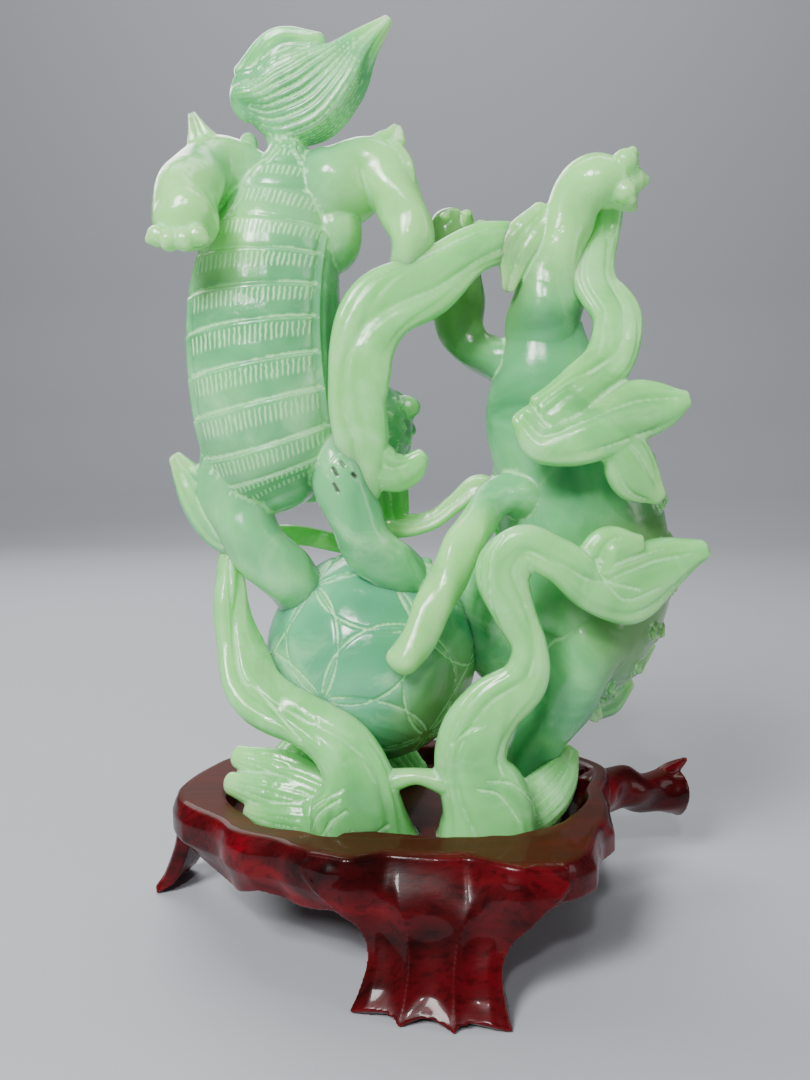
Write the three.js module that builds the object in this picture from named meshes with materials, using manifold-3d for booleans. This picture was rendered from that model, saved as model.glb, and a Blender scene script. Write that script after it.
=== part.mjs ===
// Carved jade group of two playing guardian lions, upside down over a brocade ball and wound with silk
// ribbons, on a carved hardwood stand. Millimetres, +Z up, seen from -Y, on the table at Z = 0.
import * as THREE from "three";
import { mergeVertices } from "three/addons/utils/BufferGeometryUtils.js";
import Module from "manifold-3d";

const wasm = await Module();
wasm.setup();

// Driving dimensions of the jade
const carvingHeight = 253;
const ballRadius = 35.5;
const bellyPlates = 12;
const bellyRidge = 0.8;
const spineKnobs = 8;
const spineHeight = 2.6;
const lockRidge = 0.8;
const curlHeight = 1.5;
const ribbonHalfThickness = 4.4;
const creaseDepth = 1.2;

// Driving dimensions of the stand
const rimHeight = 42;
const recessDepth = 7.3;
const seatGap = 0.3;
const apronDrop = 20;
const apronWave = 2.4;
const facetCount = 15;
const facetRidgeHeight = 1.8;
const footFluteDepth = 2.2;

// The pose is written in 253rds of the carving's height, which are millimetres at the real size
const share = carvingHeight / 253;

const viewerSide = new THREE.Vector3(0, -1, 0);
const weldDistance = 1e-4;

const vector = ([x, y, z]) => new THREE.Vector3(x, y, z);
const radians = THREE.MathUtils.degToRad;
const times = (count, make) => Array.from({ length: count }, (_, k) => make(k));

/** The middle of a list of points. */
function middleOf(points) {
  return points.reduce((sum, p) => sum.add(p), new THREE.Vector3()).divideScalar(points.length);
}

/** The solid of a closed geometry, ready to be joined and cut. */
function solid(geometry) {
  const plain = geometry.index ? geometry.toNonIndexed() : geometry.clone();
  plain.deleteAttribute("normal");
  plain.deleteAttribute("uv");
  const welded = mergeVertices(plain, weldDistance);
  const mesh = new wasm.Mesh({
    numProp: 3,
    vertProperties: welded.attributes.position.array,
    triVerts: new Uint32Array(welded.index.array),
  });
  return new wasm.Manifold(mesh);
}

/** One solid from lists of solids that meet. */
function join(solids) {
  return solids.flat(Infinity).reduce((whole, piece) => whole.add(piece));
}

/** The geometry of a finished solid. */
function geometryOf(shape) {
  const mesh = shape.getMesh();
  const geometry = new THREE.BufferGeometry();
  geometry.setAttribute("position", new THREE.BufferAttribute(mesh.vertProperties, mesh.numProp));
  geometry.setIndex(new THREE.BufferAttribute(mesh.triVerts, 1));
  geometry.computeVertexNormals();
  return geometry;
}

/** A closed skin over rings of points, each ring turning the same way, with a pole at each end. */
function skin(rings, firstPole, lastPole) {
  const count = rings[0].length;
  const last = rings.length - 1;
  const pole = rings.length * count;
  const at = (ring, k) => ring * count + (k % count);
  const faces = [];
  for (let k = 0; k < count; k++) {
    faces.push(pole, at(0, k + 1), at(0, k));
    for (let ring = 0; ring < last; ring++) {
      faces.push(at(ring, k), at(ring, k + 1), at(ring + 1, k + 1));
      faces.push(at(ring, k), at(ring + 1, k + 1), at(ring + 1, k));
    }
    faces.push(pole + 1, at(last, k), at(last, k + 1));
  }
  const geometry = new THREE.BufferGeometry().setFromPoints([...rings.flat(), firstPole, lastPole]);
  geometry.setIndex(faces);
  return solid(geometry);
}

/**
 * A limb, lock or ribbon through stations of [x, y, z, half width, half thickness, roll in degrees].
 * Its thickness faces the viewer. The relief is a height, for a turn round it and a share along it,
 * and lean tips each ring over to one side.
 */
function sweep(stations, options = {}) {
  const { sides = 8, spans = stations.length - 1, squareness = 1, cap = 0.8, lean = 0 } = options;
  const { relief = () => 0 } = options;
  const size = ([, , , width, thickness = width, roll = 0]) => new THREE.Vector3(width, thickness, roll);
  const path = new THREE.CatmullRomCurve3(stations.map(vector), false, "catmullrom", 0.5);
  const sizes = new THREE.CatmullRomCurve3(stations.map(size), false, "catmullrom", 0.5);
  const face = viewerSide.clone();
  const squared = (value) => Math.sign(value) * Math.abs(value) ** squareness;

  const ringAt = (along, shrink = 1, beyond = 0) => {
    const tangent = path.getTangent(along);
    const { x: width, y: thickness, z: roll } = sizes.getPoint(along);
    const normal = face.clone().addScaledVector(tangent, -face.dot(tangent)).normalize();
    face.copy(normal).lerp(viewerSide, 0.3);
    normal.applyAxisAngle(tangent, radians(roll));
    const across = new THREE.Vector3().crossVectors(normal, tangent);
    const overhang = beyond * cap * Math.min(width, thickness);
    const centre = path.getPoint(along).addScaledVector(tangent, overhang);
    return times(sides, (k) => {
      const turn = (2 * Math.PI * (k + 0.5)) / sides;
      const height = relief(turn, along) * shrink;
      const sideways = (width * shrink + height) * squared(Math.cos(turn));
      return centre
        .clone()
        .addScaledVector(across, sideways)
        .addScaledVector(normal, (thickness * shrink + height) * squared(Math.sin(turn)))
        .addScaledVector(tangent, lean * sideways)
        .multiplyScalar(share);
    });
  };
  const firstPole = middleOf(ringAt(0, 0, -1));
  const rings = [ringAt(0, Math.SQRT1_2, -Math.SQRT1_2)];
  rings.push(...times(spans + 1, (k) => ringAt(k / spans)));
  rings.push(ringAt(1, Math.SQRT1_2, Math.SQRT1_2));
  return skin(rings, firstPole, middleOf(ringAt(1, 0, 1)));
}

/** An ellipsoid at a place in the pose. */
function boulder([x, y, z], [width, depth, height], around = 8, down = 5) {
  const geometry = new THREE.SphereGeometry(1, around, down);
  geometry.rotateX(Math.PI / 2).scale(width, depth, height).translate(x, y, z);
  return solid(geometry.scale(share, share, share));
}

/** Relief of parallel locks of hair that run along a sweep with twice as many sides. */
const locks = (count) => (turn) => lockRidge * Math.sin(count * turn);

/** Relief of curls in staggered rows, on the sides where the given weight of a turn isn't zero. */
const curls = (count, rows, weight) => (turn, along) =>
  curlHeight * weight(turn, along) * Math.sin(count * turn) * Math.cos(2 * Math.PI * rows * along);

/** Relief of a ribbon: its middle is folded in along a crease, front and back. */
const crease = (turn) => -creaseDepth * Math.abs(Math.sin(turn)) ** 4;

/** A silk ribbon, flat towards the viewer unless a station gives its own thickness and roll. */
function ribbon(stations, spans) {
  const flat = stations.map(([x, y, z, width, thickness = ribbonHalfThickness, roll = 0]) => [
    x, y, z, width, thickness, roll,
  ]);
  return sweep(flat, { sides: 8, spans, squareness: 0.8, cap: 0.6, relief: crease });
}

/** Relief of a row of knobs down the back of a trunk. */
const spine = (turn, along) =>
  Math.sin(turn) < -0.9 ? spineHeight * (0.5 + 0.5 * Math.cos(2 * Math.PI * spineKnobs * along)) : 0;

/** A tuft of hair with three locks. */
function tuft(stations) {
  return sweep(stations, { sides: 6, spans: 2, cap: 1, relief: locks(3) });
}

/** A row of toes along an arc round the end of a paw. */
function toes(paw, side, forward, spread, radius, count = 4) {
  return times(count, (k) => {
    const turn = radians(-50 + (100 * k) / (count - 1));
    const place = vector(paw)
      .addScaledVector(vector(side), spread * Math.sin(turn))
      .addScaledVector(vector(forward), spread * Math.cos(turn));
    return boulder(place.toArray(), [radius, radius, radius], 5, 3);
  });
}

/** A lion's head, looking along a compass bearing from +X and nodded down, in a mane of curls. */
function lionHead(centre, bearing, nod, size) {
  const turn = new THREE.Matrix4()
    .makeRotationZ(radians(bearing))
    .multiply(new THREE.Matrix4().makeRotationY(radians(nod)));
  const place = (point) =>
    point.multiplyScalar(size).applyMatrix4(turn).add(vector(centre)).multiplyScalar(share);
  const lump = ([x, y, z], radii, around = 5, down = 3) => {
    const geometry = new THREE.SphereGeometry(1, around, down).rotateX(Math.PI / 2);
    geometry.scale(...radii).translate(x, y, z);
    geometry.scale(size, size, size).applyMatrix4(turn).translate(...centre);
    return solid(geometry.scale(share, share, share));
  };
  const pairs = [-1, 1].map((side) => [
    lump([14.5, side * 4.2, -2.5], [4.6, 4.8, 4.2], 6, 4),
    lump([10.6, side * 6, 4.6], [3.4, 3.4, 3.4]),
    lump([9, side * 6.4, 8.6], [4, 5.2, 2.4]),
    lump([0, side * 14, 7], [2.6, 6, 4.4]),
  ]);
  const maneSides = 12;
  const maneRings = times(6, (ring) => {
    const tilt = radians(170 - 23 * ring);
    return times(maneSides, (k) => {
      const angle = (2 * Math.PI * (k + 0.5)) / maneSides;
      const reach = 16.5 + 1.6 * curlHeight * (-1) ** (ring + k);
      const outward = new THREE.Vector3(0, Math.cos(angle), Math.sin(angle)).multiplyScalar(Math.sin(tilt));
      return place(outward.setX(Math.cos(tilt)).multiplyScalar(reach));
    });
  });
  return [
    skin(maneRings, place(vector([-17, 0, 0])), place(vector([9, 0, 0]))),
    lump([9, 0, -2.5], [9, 9, 6.5], 8, 5),
    lump([18, 0, 1], [2.6, 4, 2.6]),
    lump([9, 0, -11], [8.5, 6.5, 4], 6, 4),
    pairs,
  ];
}

/** Upper lion's trunk from groin to chest, its belly to the viewer in overlapping plates. */
function playfulTrunk() {
  const stations = [
    [-45, 0, 214, 6.5, 6],
    [-47, 0, 203, 13.2, 12.6],
    [-51, 0, 186, 21, 19.5],
    [-53, -1, 168, 23.6, 22],
    [-53, -2, 149, 24.8, 23.5],
    [-51, -2, 130, 24.2, 23],
    [-48, 0, 114, 19.4, 19.4],
    [-46, 0, 107, 11.3, 13],
  ];
  const plates = (turn, along) => {
    const belly = Math.sqrt(Math.max(0, Math.sin(turn)));
    return bellyRidge * belly * Math.cos(2 * Math.PI * bellyPlates * along) + spine(turn, along);
  };
  return sweep(stations, { sides: 12, spans: 2 * bellyPlates, cap: 0.5, lean: -0.12, relief: plates });
}

/** Upper lion, standing on its forepaws on the ball with its tail in the air. */
function playfulLion() {
  const leftHind = [
    [-54, 4, 202, 12], [-63, 0, 207, 10.4], [-70, -8, 205, 9.6], [-73, -20, 196, 9.4], [-72, -28, 187, 9.6],
  ];
  const rightHind = [
    [-38, 2, 198, 13], [-28, 0, 204, 13], [-19, -2, 208, 9.2], [-11, -5, 199, 7.9], [-7, -8, 187, 7],
    [-8, -9, 178, 4.9],
  ];
  const leftFore = [
    [-63, 0, 124, 9.4], [-65, -2, 111, 10.2], [-60, -4, 96, 9.8], [-50, -4, 83, 9.5], [-43, 0, 75, 9],
  ];
  const rightFore = [
    [-31, -3, 124, 10], [-28, -11, 110, 9], [-23, -12, 96, 8.5], [-15, -9, 85, 8.6], [-8, -5, 80, 7.7],
  ];
  const flame = sweep([
    [-57, 2, 231, 8, 6], [-49, 2, 231, 14.6, 8.6], [-39, 1, 232, 15.4, 9.4], [-30, 0, 237, 11, 7.6],
    [-22, -1, 245, 5.4, 4], [-14, -2, 252, 1.4, 1.4],
  ], { sides: 12, spans: 7, relief: locks(6) });
  const stem = sweep([[-46, 1, 211, 5, 5], [-46, 2, 221, 7, 6]], { sides: 6, spans: 1 });
  const tufts = [
    [[-57, 3, 236, 6, 4], [-48, 1, 246, 4.6, 4.4], [-35, -1, 246, 2.6, 3]],
    [[-70, -6, 207, 5, 4], [-71, -6, 214, 3.7, 2.8], [-72, -6, 221, 1.2, 1]],
    [[-18, -3, 208, 4, 3.4], [-15, -3, 214, 2.8, 2.4], [-13, -3, 219, 1.2, 1]],
    [[-62, -3, 90, 3, 3], [-72, -3, 100, 4.6, 3.4], [-82, -3, 118, 1.4, 1.2]],
  ].map(tuft);
  return [
    playfulTrunk(),
    [leftHind, rightHind, leftFore, rightFore].map((leg) => sweep(leg)),
    [flame, stem],
    tufts,
    boulder([-58, 2, 216], [3, 3, 4], 6, 4),
    boulder([-31, 0, 189], [9, 10, 13], 8, 5),
    sweep([[-42, 8, 116, 14], [-32, 22, 124, 13], [-24, 32, 128, 12]], { spans: 2 }),
    lionHead([-22, 34, 128], 68, 8, 1),
    toes([-73, -31, 184], [1, 0, 0], [0, -0.6, -0.6], 7.4, 3.2),
    toes([-6, -6, 80], [0, 0.7, 0.7], [1, 0, 0], 5.6, 2.8),
  ];
}

/** Lower lion, its chest against the ball, one forepaw on the ball and the other on the ground. */
function leaningLion() {
  const mane = curls(6, 6, (turn, along) => (along > 0.35 && Math.sin(turn) < 0.3 ? 1 : 0));
  const trunk = sweep([
    [37, 4, 160, 12, 11], [37, 5, 148, 16, 14], [38, 7, 133, 20, 17], [45, 9, 117, 24.6, 20],
    [51, 11, 97, 27.6, 23], [53, 12, 76, 28, 24], [49, 12, 57, 25, 23], [42, 10, 45, 17, 16],
  ], { sides: 12, spans: 12, cap: 0.5, relief: (turn, along) => mane(turn, along) + spine(turn, along) });
  const raisedHind = [
    [36, 4, 154, 12], [37, 2, 168, 11.6], [40, 0, 183, 8.6], [44, -2, 196, 8.1], [50, -4, 203, 8.7],
    [58, -4, 204, 8.5],
  ];
  const bentHind = [
    [7, 20, 196, 6.4], [8, 20, 183, 9.4], [9, 17, 167, 9], [14, 12, 154, 6.7], [24, 8, 149, 7.5],
  ];
  const ballFore = [
    [36, 2, 106, 10], [20, -4, 104, 6.2], [7, -17, 86, 6.2], [-1, -23, 70, 5.8], [-9, -27, 57, 5.2],
  ];
  const groundFore = [
    [53, 0, 62, 14], [47, -4, 47, 11.1], [41, -3, 34, 9.4], [34, 4, 18, 8.8], [40, 10, 7, 9.5],
  ];
  const tufts = [
    [[35, -3, 194, 4, 3.4], [27, -4, 184, 5.8, 3.6], [24, -4, 171, 1.8, 1.6]],
    [[46, -2, 42, 5, 4], [52, 0, 36, 4, 3], [56, 2, 31, 1.4, 1.2]],
    [[20, -2, 104, 3], [14, 0, 107, 2.4, 2], [11, 1, 109, 1, 1]],
    [[40, 14, 158, 6, 5], [43, 24, 172, 9, 5], [46, 22, 188, 3, 2.4]],
    [[56, 14, 34, 7, 4], [63, 18, 36, 7.4, 4], [70, 20, 39, 2.4, 2]],
  ].map(tuft);
  const claws = [[5, 197], [12, 198], [17, 192]].map(([x, top]) =>
    sweep([[x, 19, 188, 3.2], [x, 17, 194, 2.8], [x, 15, top, 1.8]], { sides: 5, spans: 1 }),
  );
  return [
    trunk,
    [raisedHind, bentHind, ballFore, groundFore].map((leg) => sweep(leg)),
    tufts,
    claws,
    boulder([26, 13, 64], [17, 15, 25]),
    sweep([[52, 20, 90, 20], [56, 30, 80, 18], [58, 38, 74, 15]], { spans: 2 }),
    lionHead([58, 40, 74], 62, 6, 1.25),
    toes([58, -4, 204], [0, 0, 1], [1, 0, 0], 7, 3),
  ];
}

/** Silk ribbons that tie the group together, their ends flared and curled. */
function ribbons() {
  const arch = [
    [34, 2, 189, 4], [22, -3, 185, 6.6], [12, -6, 181, 7.6], [-1, -10, 173, 9.8], [-14, -13, 164, 11],
    [-22, -15, 151, 10.2], [-24, -15, 137, 9.2], [-20, -13, 124, 8], [-13, -10, 115, 6.4], [-6, -8, 115, 4.4],
  ];
  const upperFall = [
    [57, 3, 201, 3.6], [55, 3, 189, 5.2], [51, -5, 173, 7.4], [56, -13, 160, 7.6], [54, -18, 147, 7.6],
    [43, -21, 139, 7.4], [33, -22, 132, 6.4],
  ];
  const upperEnd = [
    [27, -21, 130, 4.8], [33, -23, 123, 6.6], [47, -24, 126, 8.3], [61, -21, 131, 8.6], [75, -18, 135, 2.6],
  ];
  const lowerRight = [
    [19, -22, -4, 17, 12], [16, -25, 9, 14.5, 9], [12, -27, 26, 11.6, 6], [18, -27, 42, 9.6],
    [27, -27, 52, 7.3], [29, -27, 62, 5.6], [25, -27, 73, 6.6], [20, -28, 85, 8.4], [27, -28, 92, 7.3],
    [37, -28, 87, 6.8], [47, -27, 80, 7.6], [59, -24, 80, 11.4], [70, -20, 84, 9.6], [83, -18, 90, 3.2],
  ];
  const lowerLeft = [
    [-27, 18, 88, 3, 3], [-42, 18, 90, 3.4, 3], [-57, 12, 91, 3.4, 3], [-65, 0, 88, 3.2, 3.4],
    [-64, -6, 75, 5.6], [-62, -11, 60, 7.8], [-56, -17, 47, 9.4], [-37, -24, 36, 8.8, 5],
    [-25, -27, 25, 10.4, 6], [-22, -27, 13, 14, 8], [-23, -22, -4, 18, 12],
  ];
  const upperLobe = [[46, -22, 127, 5, 5], [57, -22, 121, 7.4], [63, -20, 112, 7.6, 4], [69, -18, 106, 3, 2.6]];
  const lowerLobe = [[48, -26, 84, 6, 4], [53, -26, 92, 6, 4], [62, -24, 93, 3, 3]];
  const whiskers = [[-13, 12, 108, 3.6], [-13, 4, 95, 3.4], [0, 0, 96, 3], [8, -1, 102, 3], [20, -3, 108, 3]];
  return [
    ribbon(arch, 9),
    ribbon(upperFall, 9),
    ribbon(upperEnd, 6),
    ribbon(lowerRight, 16),
    ribbon(lowerLeft, 10),
    sweep(whiskers, { sides: 6, relief: locks(3) }),
    boulder([38, -15, 130], [9, 8, 7]),
    ribbon(upperLobe, 4),
    ribbon(lowerLobe, 3),
    sweep([[-14, -26, 19, 4], [-5, -27, 21, 2.6], [4, -27, 19, 4]], { sides: 6 }),
    sweep([[-9, -10, 114, 5], [-4, -9, 119, 4.4]], { sides: 6 }),
  ];
}

/** Foot of the carving: a fanned ribbon end, waves and rocks that stand on one flat sole. */
function groundwork() {
  const fan = sweep([[-28, -17, 8, 10, 8], [-45, -13, 11, 10, 8, 0], [-60, -7, 14, 8, 6, 0]], {
    sides: 10,
    spans: 2,
    relief: locks(5),
  });
  const waves = [
    [[-50, 2, 0, 13, 10], [-42, 18, 8, 14, 12], [-24, 28, 10, 15, 13], [-8, 32, -2, 10, 8]],
    [[39, 8, -2, 8, 8], [40, 24, 8, 11, 11], [30, 31, 8, 12, 10], [18, 30, -4, 8, 7]],
  ].map((stations) => sweep(stations, { spans: 5, relief: locks(4) }));
  const rocks = [boulder([-35, -15, 2], [12, 10, 11]), boulder([32, -6, 2], [14, 15, 12])];
  return [fan, waves, rocks];
}

/** Everything of the carving below its sole, to be cut away flat. */
function belowSole() {
  const slab = new THREE.BoxGeometry(400, 400, 60).translate(0, 0, -30);
  return solid(slab.scale(share, share, share));
}

function jadeCarving() {
  const ball = new THREE.IcosahedronGeometry(ballRadius, 3);
  ball.translate(-20 * share, 10 * share, 51 * share);
  const pieces = [playfulLion(), leaningLion(), ribbons(), groundwork(), solid(ball)];
  return join(pieces).subtract(belowSole());
}

// Outline of the stand from above: bearing in degrees from +X, recess radius, rim width, share of apron
const standOutline = [
  [0, 51, 7, 0.7], [25, 62, 7, 0.8], [45, 58, 9, 0.9], [68, 50, 10, 0.9], [90, 47, 11, 0.9],
  [116, 50, 14, 1], [135, 58, 14, 1], [157, 64, 19, 0.9], [180, 67, 18, 0.8], [206, 60, 11, 1.05],
  [225, 50, 13, 0.95], [244, 43, 17, 1], [256, 39, 13, 1], [278, 38, 15, 0.95], [293, 40, 25, 0.8],
  [303, 43, 26, 0.7], [330, 47, 13, 0.65],
];

/** The recess radius, rim width and apron drop at a bearing, smoothly between the outline's stations. */
function outlineAt(bearing) {
  const count = standOutline.length;
  const place = ((bearing % 360) + 360) % 360;
  const next = standOutline.findIndex(([angle]) => angle > place);
  const before = next === -1 ? count - 1 : next - 1;
  const [from, ...here] = standOutline[before];
  const [to, ...there] = standOutline[(before + 1) % count];
  const blend = THREE.MathUtils.smoothstep(place, from, to > from ? to : to + 360);
  const [recess, rim, apron] = here.map((value, k) => THREE.MathUtils.lerp(value, there[k], blend));
  return { recess: recess * share, rim: rim * share, drop: apron * apronDrop };
}

/** How near a bearing is to a ridge between two gouged facets, from 0 to 1. */
const nearRidge = (bearing) => 1 - Math.abs(Math.sin(radians((bearing * facetCount) / 2)));

/** A ring of the stand, at a reach and a height that follow the outline and the ridges. */
function standRing(reach, height) {
  const samples = 2 * facetCount;
  return times(samples, (k) => {
    const bearing = (360 * k) / samples;
    const ridge = nearRidge(bearing);
    const { recess, rim, drop } = outlineAt(bearing);
    const spoke = new THREE.Vector3(Math.cos(radians(bearing)), Math.sin(radians(bearing)), 0);
    return spoke.multiplyScalar(reach(recess, rim, ridge)).setZ(height(drop, ridge));
  });
}

/** The stand's top, over an apron with gouged facets and a wavy lower edge. */
function standTop() {
  const underside = rimHeight - 0.7 * apronDrop;
  const flared = (share, ridgeShare) => (recess, rim, ridge) =>
    share * (recess + rim) + ridgeShare * facetRidgeHeight * ridge;
  return skin(
    [
      standRing(flared(0.8, 0), () => underside),
      standRing(flared(0.95, 1), (drop, ridge) => rimHeight - drop + apronWave * ridge),
      standRing(flared(1.01, 1), () => rimHeight - 11),
      standRing(flared(1, 0.2), () => rimHeight - 2),
      standRing(flared(0.97, 0), () => rimHeight),
    ],
    new THREE.Vector3(0, 0, underside),
    new THREE.Vector3(0, 0, rimHeight),
  );
}

/** The flat-bottomed recess inside the rim, where the carving is let in, to be cut from the stand. */
function standRecess() {
  const floor = rimHeight - recessDepth;
  const above = rimHeight + 4;
  return skin(
    [standRing((edge) => edge - 1, () => floor), standRing((edge) => edge + 2, () => above)],
    new THREE.Vector3(0, 0, floor),
    new THREE.Vector3(0, 0, above),
  );
}

/**
 * A fluted foot that sweeps out from under the rim: bearing, number of flutes, reach, width at the toe,
 * and how far it stands aside of that bearing. Its front has sharp crests between hollow flutes.
 */
function standFoot([bearing, flutes, ...lengths]) {
  const [reach, width, aside] = lengths.map((length) => length * share);
  const { recess, rim } = outlineAt(bearing);
  // Height as a share of the rim's, share of the way out, then width and thickness as shares of the toe
  const profile = [
    [0, 1, 1, 0.36], [0.14, 0.72, 0.9, 0.34], [0.32, 0.38, 0.84, 0.34], [0.5, 0.16, 0.96, 0.36],
    [0.66, 0.06, 1.26, 0.4], [0.86, 0, 1.62, 0.4],
  ];
  const cuts = 2 * flutes;
  const rings = profile.map(([up, out, wide, thick]) => {
    const middle = THREE.MathUtils.lerp(recess + rim + 1, reach, out) - 0.5 * thick * width;
    // The crests run into the apron's face under the rim
    const point = (across, depth) =>
      new THREE.Vector3(middle + depth, aside + across * wide * width, up * rimHeight);
    const merge = THREE.MathUtils.smoothstep(up, 0.3, 0.8);
    const front = times(cuts + 1, (k) => {
      const across = k / cuts - 0.5;
      const hollow = k % 2 === 1 ? footFluteDepth : 0;
      const edge = point(across, 0.5 * thick * width * (1 - across ** 2));
      const apron = outlineAt(bearing + THREE.MathUtils.radToDeg(Math.atan2(edge.y, edge.x)));
      const reached = Math.hypot(edge.x, edge.y);
      const merged = THREE.MathUtils.lerp(reached, apron.recess + apron.rim + 2, merge) - hollow;
      return edge.multiply(new THREE.Vector3(merged / reached, merged / reached, 1));
    });
    return [...front, point(0.36, -0.5 * thick * width), point(-0.36, -0.5 * thick * width)];
  });
  const poles = [rings[0], rings.at(-1)].map((ring) => middleOf(ring.map((p) => p.clone())));
  return skin(rings, ...poles).rotate([0, 0, bearing]);
}

/** The root that reaches out to the right of the stand and ends in a flared cut face with a thorn. */
function standRoot() {
  const root = [
    [50, 14, 33, 7.4, 7], [66, 27, 33, 8, 6.4], [79, 35, 29, 7.2, 6.4], [88, 40, 27, 8, 7.6],
    [94, 42, 27, 9, 8.6],
  ];
  const thorn = [[86, 40, 31, 4], [92, 42, 35, 3], [97.5, 43, 38.5, 1]];
  return [sweep(root, { cap: 0.15 }), sweep(thorn, { sides: 6 })];
}

function woodStand() {
  // Each foot's bearing, flutes, reach, width and stand aside
  const feet = [
    [258, 3, 70, 46, 12],
    [166, 2, 99.5, 24, 0],
    [47, 2, 84, 34, 0],
    [118, 2, 74, 34, 0],
  ];
  return join([standTop(), feet.map(standFoot), standRoot()]).subtract(standRecess());
}

const jade = new THREE.MeshStandardMaterial({ color: 0xa9cf9f, roughness: 0.22, metalness: 0 });
const rosewood = new THREE.MeshStandardMaterial({ color: 0x4a0f10, roughness: 0.28, metalness: 0 });

const carving = new THREE.Mesh(geometryOf(jadeCarving()), jade);
carving.name = "jade_carving";
carving.position.z = rimHeight - recessDepth + seatGap;

const stand = new THREE.Mesh(geometryOf(woodStand()), rosewood);
stand.name = "wood_stand";

const figure = new THREE.Group();
figure.add(carving, stand);

// The frame's origin is under the middle of the whole object
const box = new THREE.Box3().setFromObject(figure);
const middle = box.getCenter(new THREE.Vector3());
figure.position.set(-middle.x, -middle.y, -box.min.z);

export default figure;
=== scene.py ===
"""Jade group of two playing guardian lions on a lacquered hardwood stand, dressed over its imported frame.

Lengths are millimetres of the real carving until a mesh is made, and metres from there on.
"""

import logging
import math
from dataclasses import dataclass, field
from enum import Enum
from typing import Callable, Optional, Sequence

import bpy
import numpy as np
from mathutils import Euler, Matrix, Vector
from mathutils.bvhtree import BVHTree
from mathutils.kdtree import KDTree

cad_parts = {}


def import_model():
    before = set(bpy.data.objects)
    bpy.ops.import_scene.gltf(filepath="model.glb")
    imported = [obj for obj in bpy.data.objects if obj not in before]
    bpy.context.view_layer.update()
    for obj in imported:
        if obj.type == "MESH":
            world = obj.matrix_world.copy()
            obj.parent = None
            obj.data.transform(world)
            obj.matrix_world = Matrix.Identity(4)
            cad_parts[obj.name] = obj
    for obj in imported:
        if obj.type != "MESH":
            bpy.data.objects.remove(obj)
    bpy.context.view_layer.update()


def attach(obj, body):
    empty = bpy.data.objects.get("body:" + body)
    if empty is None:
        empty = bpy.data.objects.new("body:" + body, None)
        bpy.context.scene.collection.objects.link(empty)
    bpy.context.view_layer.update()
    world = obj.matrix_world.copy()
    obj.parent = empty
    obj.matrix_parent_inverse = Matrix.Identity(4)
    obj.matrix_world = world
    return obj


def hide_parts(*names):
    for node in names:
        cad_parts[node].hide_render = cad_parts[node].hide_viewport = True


LOG = logging.getLogger("jade_lions")
MM = 0.001
RIM_HEIGHT = 42.0
RECESS_DEPTH = 7.3
SEAT_GAP = 0.3
SHIFT = np.array([0.027, 0.877, RIM_HEIGHT - RECESS_DEPTH + SEAT_GAP])
STAND_SHIFT = SHIFT * (1, 1, 0)
VIEWER = np.array([0.0, -1.0, 0.0])
SOFTENING = 0.4
CLEAR_DEPTH = 10.0
THIN_DEPTH = 2.0

Rows = Sequence[Sequence[float]]
Colour = tuple[float, float, float]
Socket = bpy.types.NodeSocket


class Repeat(Enum):
    """What a scatter tree repeats."""

    CURL = "curl"
    KNOB = "knob"


def unit(rows: np.ndarray) -> np.ndarray:
    """Rows of vectors at length one.

    Args:
        rows: Vectors along the last axis.

    Returns:
        The same directions at length one.
    """
    return rows / np.maximum(np.linalg.norm(rows, axis=-1, keepdims=True), 1e-9)


def through(points: np.ndarray, at: np.ndarray) -> np.ndarray:
    """A Catmull-Rom curve through points.

    Args:
        points: The points, one row each.
        at: Shares of the way along, from 0 to 1.

    Returns:
        One row for each share.
    """
    padded = np.vstack([2 * points[0] - points[1], points, 2 * points[-1] - points[-2]])
    place = np.clip(at, 0, 1) * (len(points) - 1)
    index = np.minimum(place.astype(int), len(points) - 2)
    w = (place - index)[:, None]
    p0, p1, p2, p3 = (padded[index + k] for k in range(4))
    t0, t1 = 0.5 * (p2 - p0), 0.5 * (p3 - p1)
    return p1 + t0 * w + (3 * (p2 - p1) - 2 * t0 - t1) * w**2 + (2 * (p1 - p2) + t0 + t1) * w**3


def step(low: float, high: float, value: np.ndarray) -> np.ndarray:
    """A smooth step from 0 at low to 1 at high.

    Args:
        low: Where the step starts.
        high: Where it ends.
        value: Values to place on it.

    Returns:
        The step's height at each value.
    """
    t = np.clip((value - low) / (high - low), 0, 1)
    return t * t * (3 - 2 * t)


def bell(value: np.ndarray, width: float) -> np.ndarray:
    """A bell curve of height one.

    Args:
        value: Distances from its middle.
        width: Distance at which it has fallen to a third.

    Returns:
        The curve's height at each distance.
    """
    return np.exp(-((value / width) ** 2))


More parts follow.
